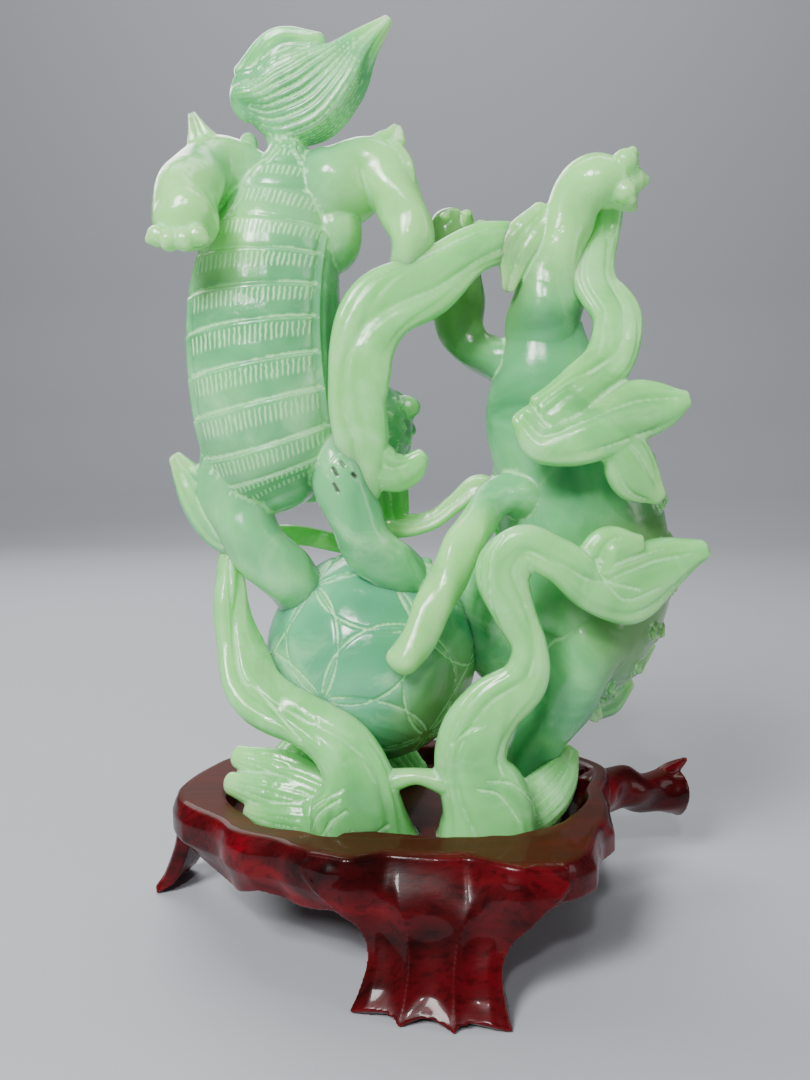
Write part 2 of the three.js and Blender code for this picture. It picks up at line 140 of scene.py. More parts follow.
@dataclass
class Form:
    """A closed skin in millimetres."""

    points: np.ndarray
    quads: np.ndarray
    tris: np.ndarray

    @staticmethod
    def joined(forms: Sequence["Form"]) -> "Form":
        """One list of points and faces from several forms.

        Args:
            forms: The forms, which may pass through each other.

        Returns:
            All of them as one form.
        """
        quads, tris, start = [], [], 0
        for form in forms:
            quads.append(form.quads + start)
            tris.append(form.tris + start)
            start += len(form.points)
        return Form(np.vstack([f.points for f in forms]), np.vstack(quads), np.vstack(tris))

    @staticmethod
    def skin(rings: np.ndarray, first: np.ndarray, last: np.ndarray) -> "Form":
        """A closed skin over rings of points with a pole at each end.

        Args:
            rings: Points by ring and by place in the ring.
            first: The pole before the first ring.
            last: The pole after the last ring.

        Returns:
            The closed form.
        """
        count, sides = rings.shape[:2]
        k = np.arange(sides)
        ring = (np.arange(count - 1) * sides)[:, None]
        here, there = ring + k, ring + (k + 1) % sides
        quads = np.stack([here, there, there + sides, here + sides], axis=-1).reshape(-1, 4)
        pole, end = count * sides, (count - 1) * sides
        starts = np.stack([np.full(sides, pole), (k + 1) % sides, k], axis=-1)
        ends = np.stack([np.full(sides, pole + 1), end + k, end + (k + 1) % sides], axis=-1)
        return Form(np.vstack([rings.reshape(-1, 3), first, last]), quads, np.vstack([starts, ends]))

    def stood(self) -> "Form":
        """The form with all that lies under the carving's sole pressed up to it."""
        points = self.points.copy()
        points[:, 2] = np.maximum(points[:, 2], 0)
        return Form(points, self.quads, self.tris)

    def to_object(self, name: str, shift: np.ndarray) -> bpy.types.Object:
        """A Blender object of the form, in metres.

        Args:
            name: The object's name.
            shift: Where the form's own origin lies in the frame, in millimetres.

        Returns:
            The new object, linked to the scene.
        """
        mesh = bpy.data.meshes.new(name)
        faces = self.quads.tolist() + self.tris.tolist()
        mesh.from_pydata(((self.points + shift) * MM).tolist(), [], faces)
        mesh.update()
        obj = bpy.data.objects.new(name, mesh)
        bpy.context.scene.collection.objects.link(obj)
        return obj


@dataclass
class Skin:
    """Where each point of a sweep lies, for its relief: turn round it, share and length along it."""

    turn: np.ndarray
    along: np.ndarray
    run: np.ndarray
    wide: np.ndarray
    thick: np.ndarray

    @property
    def aside(self) -> np.ndarray:
        """Distance across the front from its middle, to the right of someone facing it."""
        return self.wide * np.cos(self.turn)

    @property
    def front(self) -> np.ndarray:
        """How far a point is turned to the viewer, from -1 to 1."""
        return np.sin(self.turn)


Relief = Callable[[Skin], np.ndarray]


def smooth_skin(skin: Skin) -> np.ndarray:
    """No relief at all."""
    return np.zeros_like(skin.turn)


@dataclass
class Sweep:
    """A limb, lock or ribbon through stations of x, y, z, half width and half thickness."""

    rows: Rows
    relief: Relief = smooth_skin
    sides: int = 56
    pitch: float = 0.8
    squareness: float = 1.0
    cap: float = 0.8
    lean: float = 0.0
    thickness: Optional[float] = None
    skin: Optional[Skin] = None

    def rings(self) -> tuple[np.ndarray, np.ndarray]:
        """The rings of points from end to end.

        Returns:
            The points by ring and place, and the middle of each ring.
        """
        table = np.array([[*r, self.thickness or r[3]][:5] for r in self.rows], float)
        path, sizes = table[:, :3], table[:, 3:]
        length = np.linalg.norm(np.diff(path, axis=0), axis=1).sum()
        spans = max(8, int(length / self.pitch))
        t = np.linspace(0, 1, spans + 1)
        centre, size = through(path, t), np.maximum(through(sizes, t), 0.4)
        ahead, behind = np.minimum(t + 1e-3, 1), np.maximum(t - 1e-3, 0)
        tangent = unit(through(path, ahead) - through(path, behind))
        keep = 0.7 ** ((len(path) - 1) / spans)
        face, normal = VIEWER.copy(), np.zeros_like(tangent)
        for k in range(spans + 1):
            flat = face - tangent[k] * (face @ tangent[k])
            normal[k] = flat / np.linalg.norm(flat)
            face = keep * normal[k] + (1 - keep) * VIEWER
        across = np.cross(normal, tangent)
        run = np.concatenate([[0], np.cumsum(np.linalg.norm(np.diff(centre, axis=0), axis=1))])

        steps = 7
        bend = np.linspace(0, math.pi / 2, steps + 2)[1:-1]
        index = np.concatenate([np.zeros(steps, int), np.arange(spans + 1), np.full(steps, spans)])
        shrink = np.concatenate([np.cos(bend[::-1]), np.ones(spans + 1), np.cos(bend)])[:, None]
        beyond = np.concatenate([-np.sin(bend[::-1]), np.zeros(spans + 1), np.sin(bend)])[:, None]
        wide, thick = size[index, :1], size[index, 1:]
        over = beyond * self.cap * np.minimum(wide, thick)
        turn = 2 * math.pi * (np.arange(self.sides) + 0.5) / self.sides + np.zeros_like(shrink)
        self.skin = Skin(turn, t[index, None], run[index, None] + over, wide, thick)
        height = self.relief(self.skin) * shrink
        squared = lambda v: np.sign(v) * np.abs(v) ** self.squareness
        sideways = (wide * shrink + height) * squared(np.cos(turn))
        outward = (thick * shrink + height) * squared(np.sin(turn))
        middle = centre[index] + tangent[index] * over
        points = (
            middle[:, None]
            + across[index][:, None] * sideways[..., None]
            + normal[index][:, None] * outward[..., None]
            + tangent[index][:, None] * (self.lean * sideways)[..., None]
        )
        return points, middle

    def form(self) -> Form:
        """The closed skin of the sweep."""
        points, middle = self.rings()
        poles = [points[k].mean(axis=0) for k in (0, -1)]
        return Form.skin(points, *poles)

    def seats(self, along: Sequence[float], turns: Sequence[float]) -> tuple[np.ndarray, np.ndarray]:
        """Places on the sweep's skin, with the directions that they face.

        Args:
            along: Share of the way along, for each place.
            turns: Turn round the sweep in degrees, for each place.

        Returns:
            The places and their outward directions.
        """
        points, middle = self.rings()
        last = len(points) - 1
        rings = np.clip((np.asarray(along) * last).round().astype(int), 0, last)
        sides = (np.asarray(turns) / 360 * self.sides).astype(int) % self.sides
        place = points[rings, sides]
        return place, unit(place - middle[rings])


@dataclass
class Lump:
    """An ellipsoid with a place and three radii."""

    place: Sequence[float]
    radii: Sequence[float]
    rings: int = 24

    def form(self) -> Form:
        """The closed skin of the ellipsoid."""
        tilt = np.linspace(math.pi, 0, self.rings + 2)[1:-1, None]
        turn = np.linspace(0, 2 * math.pi, 2 * self.rings, endpoint=False)
        across, level = np.sin(tilt), 0 * turn
        ball = np.stack([across * np.cos(turn), across * np.sin(turn), np.cos(tilt) + level], -1)
        place, radii = np.asarray(self.place, float), np.asarray(self.radii, float)
        up = np.array([0, 0, radii[2]])
        return Form.skin(place + ball * radii, place - up, place + up)


@dataclass(frozen=True)
class FrontView:
    """The eye that faces the bellies. Lines cut into the front are drawn as it sees them."""

    place: tuple[float, float, float] = (-8.5, -324.0, 158.5)
    pitch: float = 5.7
    reach: float = 1000.0
    middle: tuple[float, float] = (405.0, 540.0)
    long_side: float = 1080.0
    sensor: float = 36.0

    def seen(self, points: np.ndarray) -> tuple[np.ndarray, np.ndarray]:
        """Where points of the frame appear.

        Args:
            points: Points of the frame in millimetres.

        Returns:
            Places in the view, and the number of view units in a millimetre there.
        """
        ray = points - np.array(self.place)
        lean = math.radians(self.pitch)
        depth = ray[:, 1] * math.cos(lean) - ray[:, 2] * math.sin(lean)
        rise = ray[:, 1] * math.sin(lean) + ray[:, 2] * math.cos(lean)
        scale = self.reach / depth
        return np.stack([self.middle[0] + ray[:, 0] * scale, self.middle[1] - rise * scale], -1), scale

    def camera(self) -> bpy.types.Object:
        """The camera at this eye."""
        data = bpy.data.cameras.new("front_view")
        data.lens = self.reach / self.long_side * self.sensor
        data.sensor_width = self.sensor
        data.clip_start = 0.01
        obj = bpy.data.objects.new("front_view", data)
        obj.location = Vector(self.place) * MM
        obj.rotation_euler = Euler((math.radians(90 - self.pitch), 0, 0))
        bpy.context.scene.collection.objects.link(obj)
        bpy.context.scene.camera = obj
        return obj


VIEW = FrontView()


@dataclass(frozen=True)
class Cut:
    """A line engraved in the front of a piece: its course as seen from the front, width, depth and how far its groove
    is drawn darker.
    """

    course: Rows
    width: float = 0.55
    depth: float = 0.5
    darkening: float = 0.0

    def sink(self, seen: np.ndarray, scale: np.ndarray) -> np.ndarray:
        """How deep the line cuts at each point.

        Args:
            seen: Places in the front view.
            scale: View units in a millimetre, for each point.

        Returns:
            Depths in millimetres.
        """
        table = np.array(self.course, float)
        line = through(table, np.linspace(0, 1, 6 * len(table)))
        near = np.full(len(seen), 1e9)
        inside = np.all((seen > line.min(0) - 12) & (seen < line.max(0) + 12), axis=1)
        spot = seen[inside]
        best = np.full(len(spot), 1e9)
        for a, b in zip(line[:-1], line[1:]):
            along = np.clip(((spot - a) @ (b - a)) / max((b - a) @ (b - a), 1e-9), 0, 1)
            best = np.minimum(best, np.linalg.norm(spot - a - along[:, None] * (b - a), axis=1))
        near[inside] = best
        return self.depth * bell(near / scale, self.width)


class NodeSheet:
    """Short spells for placing and joining shader or geometry nodes in one tree."""

    def __init__(self, tree: bpy.types.NodeTree) -> None:
        """Keeps the tree.

        Args:
            tree: The tree that gets the nodes.
        """
        self.tree = tree

    def add(self, kind: str, values: Optional[dict] = None, **settings: object) -> bpy.types.Node:
        """A node with its settings and with its inputs filled or joined.

        Args:
            kind: The node's type.
            values: Input name or number to a value, or to the output socket that feeds it.
            settings: The node's own properties.

        Returns:
            The new node.
        """
        node = self.tree.nodes.new(kind)
        for key, value in settings.items():
            setattr(node, key, value)
        for key, value in (values or {}).items():
            if isinstance(value, Socket):
                self.tree.links.new(value, node.inputs[key])
            else:
                node.inputs[key].default_value = value
        return node

    def ramp(self, fac: Socket, stops: Sequence[tuple[float, Sequence[float]]]) -> Socket:
        """A colour ramp.

        Args:
            fac: What it reads.
            stops: Places and colours along it.

        Returns:
            Its colour output.
        """
        node = self.add("ShaderNodeValToRGB", {"Fac": fac})
        bar = node.color_ramp.elements
        while len(bar) < len(stops):
            bar.new(0.5)
        for spot, (place, colour) in zip(bar, stops):
            spot.position, spot.color = place, (*colour, 1.0)
        return node.outputs["Color"]

    def maths(self, way: str, first: object, second: object = 0.0) -> Socket:
        """One step of arithmetic.

        Args:
            way: The operation.
            first: Number or socket.
            second: Number or socket.

        Returns:
            The result.
        """
        return self.add("ShaderNodeMath", {0: first, 1: second}, operation=way).outputs[0]

    def mark(self, name: str) -> Socket:
        """A mesh attribute's value.

        Args:
            name: The attribute's name.

        Returns:
            Its value.
        """
        return self.add("ShaderNodeAttribute", attribute_name=name, attribute_type="GEOMETRY").outputs["Fac"]

    def ease(self, value: Socket, low: float, high: float) -> Socket:
        """A smooth step.

        Args:
            value: What it reads.
            low: Where it is 0.
            high: Where it is 1.

        Returns:
            The step's height.
        """
        steps = {0: value, 1: low, 2: high}
        return self.add("ShaderNodeMapRange", steps, interpolation_type="SMOOTHSTEP").outputs[0]

    def mix(self, fac: object, first: object, second: object, blend: str = "MIX") -> Socket:
        """A blend of two colours.

        Args:
            fac: How much of the second.
            first: Colour or socket.
            second: Colour or socket.
            blend: The way they blend.

        Returns:
            The colour output.
        """
        node = self.add("ShaderNodeMix", data_type="RGBA", blend_type=blend)
        for key, value in ((0, fac), (6, first), (7, second)):
            if isinstance(value, Socket):
                self.tree.links.new(value, node.inputs[key])
            else:
                node.inputs[key].default_value = value if key == 0 else (*value, 1.0)
        return node.outputs[2]


def drift_group() -> bpy.types.NodeTree:
    """The shader group that jade and wood share: soft clouds, fine wisps and fine grain."""
    found = bpy.data.node_groups.get("drift")
    if found:
        return found
    tree = bpy.data.node_groups.new("drift", "ShaderNodeTree")
    for name, kind, way in (
        ("Place", "NodeSocketVector", "INPUT"), ("Cloud Scale", "NodeSocketFloat", "INPUT"),
        ("Grain Scale", "NodeSocketFloat", "INPUT"), ("Warp", "NodeSocketFloat", "INPUT"),
        ("Cloud", "NodeSocketFloat", "OUTPUT"), ("Wisp", "NodeSocketFloat", "OUTPUT"),
        ("Grain", "NodeSocketFloat", "OUTPUT"),
    ):
        tree.interface.new_socket(name, in_out=way, socket_type=kind)
    sheet = NodeSheet(tree)
    given = sheet.add("NodeGroupInput").outputs
    cloud = sheet.add("ShaderNodeTexNoise", {
        "Vector": given["Place"], "Scale": given["Cloud Scale"], "Detail": 3.0, "Roughness": 0.5,
        "Distortion": given["Warp"],
    })
    moved = sheet.add("ShaderNodeVectorMath", {0: given["Place"], 1: (7.3, 1.9, 4.1)}, operation="ADD")
    wisp = sheet.add("ShaderNodeTexNoise", {
        "Vector": moved.outputs[0], "Scale": given["Cloud Scale"], "Detail": 7.0, "Roughness": 0.62,
        "Distortion": 1.6,
    })
    grain = sheet.add("ShaderNodeTexNoise", {
        "Vector": given["Place"], "Scale": given["Grain Scale"], "Detail": 4.0, "Roughness": 0.6,
    })
    out = sheet.add("NodeGroupOutput")
    for name, node in (("Cloud", cloud), ("Wisp", wisp), ("Grain", grain)):
        tree.links.new(node.outputs[0], out.inputs[name])
    return tree


def hatch_group() -> bpy.types.NodeTree:
    """The shader group of short strokes cut below each raised line of a belly."""
    tree = bpy.data.node_groups.new("hatch", "ShaderNodeTree")
    for name in ("Aside", "Rung", "Within", "Pitch"):
        tree.interface.new_socket(name, in_out="INPUT", socket_type="NodeSocketFloat")
    tree.interface.new_socket("Stroke", in_out="OUTPUT", socket_type="NodeSocketFloat")
    sheet = NodeSheet(tree)
    given, maths = sheet.add("NodeGroupInput").outputs, sheet.maths
    part, row = maths("FRACT", given["Rung"]), maths("FLOOR", given["Rung"])
    turn = maths("MULTIPLY", maths("DIVIDE", given["Aside"], given["Pitch"]), math.pi)
    staggered = maths("ADD", turn, maths("MULTIPLY", row, 0.9))
    slanted = maths("ADD", staggered, maths("MULTIPLY", part, 1.4))
    stroke = maths("POWER", maths("ABSOLUTE", maths("COSINE", slanted)), 5.0)
    started = maths("MULTIPLY", stroke, sheet.ease(part, 0.08, 0.14))
    mask = maths("MULTIPLY", started, maths("MULTIPLY", sheet.ease(part, 0.56, 0.42), given["Within"]))
    out = sheet.add("NodeGroupOutput")
    tree.links.new(mask, out.inputs["Stroke"])
    return tree


@dataclass(frozen=True)
class JadeFinish:
    """Polished serpentine jade with milky clouds, frosted where the tool has cut, with painted light where the stone
    is thin, at sharp edges and on listed spots, and painted shade on other listed spots.
    """

    name: str = "jade_polished"
    deep: Colour = (0.065, 0.33, 0.125)
    middle: Colour = (0.135, 0.52, 0.22)
    pale: Colour = (0.225, 0.66, 0.275)
    frost: Colour = (0.50, 0.94, 0.49)
    # painted light: the colour laid on thin stone, sharp edges and the painted light spots, as if light shone through
    # or caught them
    glow: Colour = (0.42, 0.90, 0.30)
    # the colour that the darkened cut lines are drawn with
    cut_dark: Colour = (0.015, 0.03, 0.012)
    # painted shade: the olive colour laid on the painted shade spots, as if those parts lay in shade
    painted_shade_olive: Colour = (0.16, 0.39, 0.12)
    painted_light_spots: Sequence[tuple[float, float, float, float]] = ()
    painted_shade_spots: Sequence[tuple[float, float, float, float]] = ()
    milk: float = 0.5
    glow_share: float = 0.75
    roughness: float = 0.15
    frost_roughness: float = 0.55
    waviness: float = 35.0
    stroke_depth: float = -2.0
    stroke_pitch: float = 1.55
    depth: float = 0.010
    hatched: bool = False

    @staticmethod
    def nearness(sheet: NodeSheet, place: Socket, spots: Sequence[Sequence[float]],
                 least: object = 0.0) -> Socket:
        """How near a place is to the nearest of some spots, each with a soft reach.

        Args:
            sheet: The tree's sheet.
            place: The place.
            spots: The spots' middles and reaches in metres.
            least: What the result isn't under.

        Returns:
            1 at a spot, falling to 0 at its reach.
        """
        for *spot, reach in spots:
            away = sheet.add("ShaderNodeVectorMath", {0: place, 1: spot}, operation="DISTANCE")
            least = sheet.maths("MAXIMUM", least, sheet.ease(away.outputs["Value"], reach, 0.4 * reach))
        return least

    def material(self) -> bpy.types.Material:
        """The finish as a material."""
        material = bpy.data.materials.new(self.name)
        material.use_nodes = True
        tree = material.node_tree
        tree.nodes.clear()
        sheet = NodeSheet(tree)
        place = sheet.add("ShaderNodeTexCoord").outputs["Object"]
        drift = sheet.add("ShaderNodeGroup", node_tree=drift_group())
        tree.links.new(place, drift.inputs["Place"])
        for key, value in (("Cloud Scale", 26.0), ("Grain Scale", 900.0), ("Warp", 0.9)):
            drift.inputs[key].default_value = value
        body = sheet.ramp(drift.outputs["Cloud"], ((0.32, self.deep), (0.5, self.middle), (0.68, self.pale)))
        milky = sheet.ramp(drift.outputs["Wisp"], ((0.52, (0, 0, 0)), (0.72, (self.milk,) * 3)))
        clouded = sheet.mix(milky, body, self.frost)
        cut = sheet.mark("carved")
        waves = sheet.maths("MULTIPLY", drift.outputs["Cloud"], self.waviness)
        height = sheet.maths("ADD", drift.outputs["Grain"], waves)
        if self.hatched:
            hatch = sheet.add("ShaderNodeGroup", node_tree=hatch_group())
            for key in ("aside", "rung", "within"):
                tree.links.new(sheet.mark(key), hatch.inputs[key.title()])
            hatch.inputs["Pitch"].default_value = self.stroke_pitch
            stroke = hatch.outputs["Stroke"]
            cut = sheet.maths("MAXIMUM", cut, stroke)
            height = sheet.maths("ADD", height, sheet.maths("MULTIPLY", stroke, self.stroke_depth))
        # painted light: thin stone, sharp edges and the listed spots are painted paler and yellower, standing in for
        # light shining through and highlights
        lit = sheet.maths("MAXIMUM", sheet.mark("thin"), sheet.mark("edge"))
        lit = self.nearness(sheet, place, self.painted_light_spots, lit)
        # painted shade: the listed spots are tinted olive and darker, as if they lay in shade
        shade_painted = clouded
        if self.painted_shade_spots:
            shade_painted = sheet.mix(self.nearness(sheet, place, self.painted_shade_spots), clouded, self.painted_shade_olive)
        glowing = sheet.mix(sheet.maths("MULTIPLY", lit, self.glow_share), shade_painted, self.glow)
        frosted = sheet.mix(cut, glowing, self.frost)
        # the listed cut lines are drawn darker, only on the side that faces the front
        colour = sheet.mix(sheet.mark("darkening"), frosted, self.cut_dark)
        speckle = sheet.ramp(drift.outputs["Grain"], (
            (0.35, (self.roughness - 0.03,) * 3), (0.7, (self.roughness + 0.06,) * 3),
        ))
        rough = sheet.mix(cut, speckle, (self.frost_roughness,) * 3)
        bump = sheet.add("ShaderNodeBump", {"Strength": 0.3, "Distance": 0.0003, "Height": height})
        shader = sheet.add("ShaderNodeBsdfPrincipled", {
            "Base Color": colour, "Roughness": rough, "Normal": bump.outputs[0], "IOR": 1.56,
            "Subsurface Weight": 0.9, "Subsurface Radius": (0.6, 1.0, 0.5), "Subsurface Scale": self.depth,
            "Coat Weight": 0.12, "Coat Roughness": 0.03,
        })
        out = sheet.add("ShaderNodeOutputMaterial")
        tree.links.new(shader.outputs[0], out.inputs[0])
        return material


@dataclass(frozen=True)
class LacquerFinish:
    """Dark red hardwood under a thick glossy lacquer that is thin on the crests."""

    name: str = "lacquered_rosewood"
    deep: Colour = (0.010, 0.001, 0.001)
    middle: Colour = (0.070, 0.002, 0.004)
    bright: Colour = (0.19, 0.003, 0.009)
    top: Colour = (0.060, 0.012, 0.004)
    worn_share: float = 0.3
    top_share: float = 0.7
    dull_roughness: float = 0.62

    def material(self) -> bpy.types.Material:
        """The finish as a material."""
        material = bpy.data.materials.new(self.name)
        material.use_nodes = True
        tree = material.node_tree
        tree.nodes.clear()
        sheet = NodeSheet(tree)
        place = sheet.add("ShaderNodeTexCoord").outputs["Object"]
        along = sheet.add("ShaderNodeMapping", {
            "Vector": place, "Scale": (0.22, 1.0, 0.55), "Rotation": (0.1, 0.2, 0.45),
        })
        drift = sheet.add("ShaderNodeGroup", node_tree=drift_group())
        tree.links.new(along.outputs[0], drift.inputs["Place"])
        for key, value in (("Cloud Scale", 60.0), ("Grain Scale", 800.0), ("Warp", 1.2)):
            drift.inputs[key].default_value = value
        body = sheet.ramp(drift.outputs["Cloud"], ((0.3, self.deep), (0.52, self.middle), (0.75, self.bright)))
        pores = sheet.ramp(drift.outputs["Grain"], ((0.36, (0.35, 0.3, 0.3)), (0.5, (1, 1, 1))))
        grained = sheet.mix(0.7, body, pores, "MULTIPLY")
        worn = sheet.mix(sheet.maths("MULTIPLY", sheet.mark("edge"), self.worn_share), grained, self.bright)
        level = sheet.mark("level")
        colour = sheet.mix(sheet.maths("MULTIPLY", level, self.top_share), worn, self.top)
        gloss = sheet.ramp(drift.outputs["Wisp"], ((0.3, (0.2,) * 3), (0.75, (0.36,) * 3)))
        rough = sheet.mix(level, gloss, (self.dull_roughness,) * 3)
        bump = sheet.add("ShaderNodeBump", {"Strength": 0.25, "Distance": 0.0006, "Height": drift.outputs["Wisp"]})
        shader = sheet.add("ShaderNodeBsdfPrincipled", {
            "Base Color": colour, "Roughness": rough, "Normal": bump.outputs[0], "IOR": 1.5,
            "Coat Weight": 0.22, "Coat Roughness": 0.06, "Specular IOR Level": 0.12,
        })
        out = sheet.add("ShaderNodeOutputMaterial")
        tree.links.new(shader.outputs[0], out.inputs[0])
        return material


@dataclass
class Scatter:
    """A Geometry Nodes tree that sets one small carved shape on many places."""

    repeat: Repeat
    radius: float = 1.0
    seed: int = 7

    def tree(self, material: bpy.types.Material) -> bpy.types.NodeTree:
        """Builds the tree.

        Args:
            material: The finish that the copies get.

        Returns:
            The tree, which reads the attributes aim and size of the places.
        """
        tree = bpy.data.node_groups.new("scatter_" + self.repeat.value, "GeometryNodeTree")
        tree.interface.new_socket("Places", in_out="INPUT", socket_type="NodeSocketGeometry")
        tree.interface.new_socket("Radius", in_out="INPUT", socket_type="NodeSocketFloat")
        tree.interface.new_socket("Seed", in_out="INPUT", socket_type="NodeSocketInt")
        tree.interface.new_socket("Carved", in_out="OUTPUT", socket_type="NodeSocketGeometry")
        sheet = NodeSheet(tree)
        given = sheet.add("NodeGroupInput")
        if self.repeat is Repeat.CURL:
            snail = sheet.add("GeometryNodeCurveSpiral", {
                "Resolution": 12, "Rotations": 1.6, "Start Radius": 0.12, "End Radius": 0.78, "Height": -0.55,
            })
            tube = sheet.add("GeometryNodeCurvePrimitiveCircle", {"Resolution": 6, "Radius": 0.27}, mode="RADIUS")
            made = sheet.add("GeometryNodeCurveToMesh", {
                "Curve": snail.outputs[0], "Profile Curve": tube.outputs[0], "Fill Caps": True,
            }).outputs[0]
        else:
            made = sheet.add("GeometryNodeMeshIcoSphere", {"Radius": 1.0, "Subdivisions": 2}).outputs[0]
        aim = sheet.add("GeometryNodeInputNamedAttribute", {"Name": "aim"}, data_type="FLOAT_VECTOR")
        size = sheet.add("GeometryNodeInputNamedAttribute", {"Name": "size"}, data_type="FLOAT")
        turned = sheet.add("FunctionNodeAlignRotationToVector", {"Vector": aim.outputs[0]}, axis="Z")
        spin = sheet.add("FunctionNodeRandomValue", {
            2: -0.6, 3: 0.6, "Seed": given.outputs["Seed"],
        }, data_type="FLOAT")
        about = sheet.add("FunctionNodeAxisAngleToRotation", {"Axis": (0, 0, 1), "Angle": spin.outputs[1]})
        both = sheet.add("FunctionNodeRotateRotation", {
            "Rotation": turned.outputs[0], "Rotate By": about.outputs[0],
        }, rotation_space="LOCAL")
        scale = sheet.maths("MULTIPLY", size.outputs[0], given.outputs["Radius"])
        placed = sheet.add("GeometryNodeInstanceOnPoints", {
            "Points": given.outputs["Places"], "Instance": made, "Rotation": both.outputs[0],
            "Scale": scale,
        })
        real = sheet.add("GeometryNodeRealizeInstances", {"Geometry": placed.outputs[0]})
        dressed = sheet.add("GeometryNodeSetMaterial", {"Geometry": real.outputs[0], "Material": material})
        out = sheet.add("NodeGroupOutput")
        tree.links.new(dressed.outputs[0], out.inputs[0])
        return tree

    def form(self, places: np.ndarray, aims: np.ndarray, sizes: np.ndarray, material: bpy.types.Material) -> Form:
        """The copies as one form.

        Args:
            places: Where they stand, in millimetres.
            aims: The directions that they face.
            sizes: Their radii in millimetres.
            material: The finish that they get.

        Returns:
            All the copies.
        """
        mesh = bpy.data.meshes.new("places")
        mesh.from_pydata(places.tolist(), [], [])
        mesh.attributes.new("aim", "FLOAT_VECTOR", "POINT").data.foreach_set("vector", np.ravel(aims).astype(float))
        mesh.attributes.new("size", "FLOAT", "POINT").data.foreach_set("value", np.ravel(sizes).astype(float))
        obj = bpy.data.objects.new("places", mesh)
        bpy.context.scene.collection.objects.link(obj)
        modifier = obj.modifiers.new("scatter", "NODES")
        modifier.node_group = self.tree(material)
        for item in modifier.node_group.interface.items_tree:
            if item.name == "Radius":
                modifier[item.identifier] = self.radius
            elif item.name == "Seed":
                modifier[item.identifier] = self.seed
        made = bpy.data.meshes.new_from_object(obj.evaluated_get(bpy.context.evaluated_depsgraph_get()))
        points = np.empty(3 * len(made.vertices))
        made.vertices.foreach_get("co", points)
        made.calc_loop_triangles()
        tris = np.empty(3 * len(made.loop_triangles), int)
        made.loop_triangles.foreach_get("vertices", tris)
        bpy.data.objects.remove(obj)
        bpy.data.meshes.remove(made)
        return Form(points.reshape(-1, 3), np.zeros((0, 4), int), tris.reshape(-1, 3))


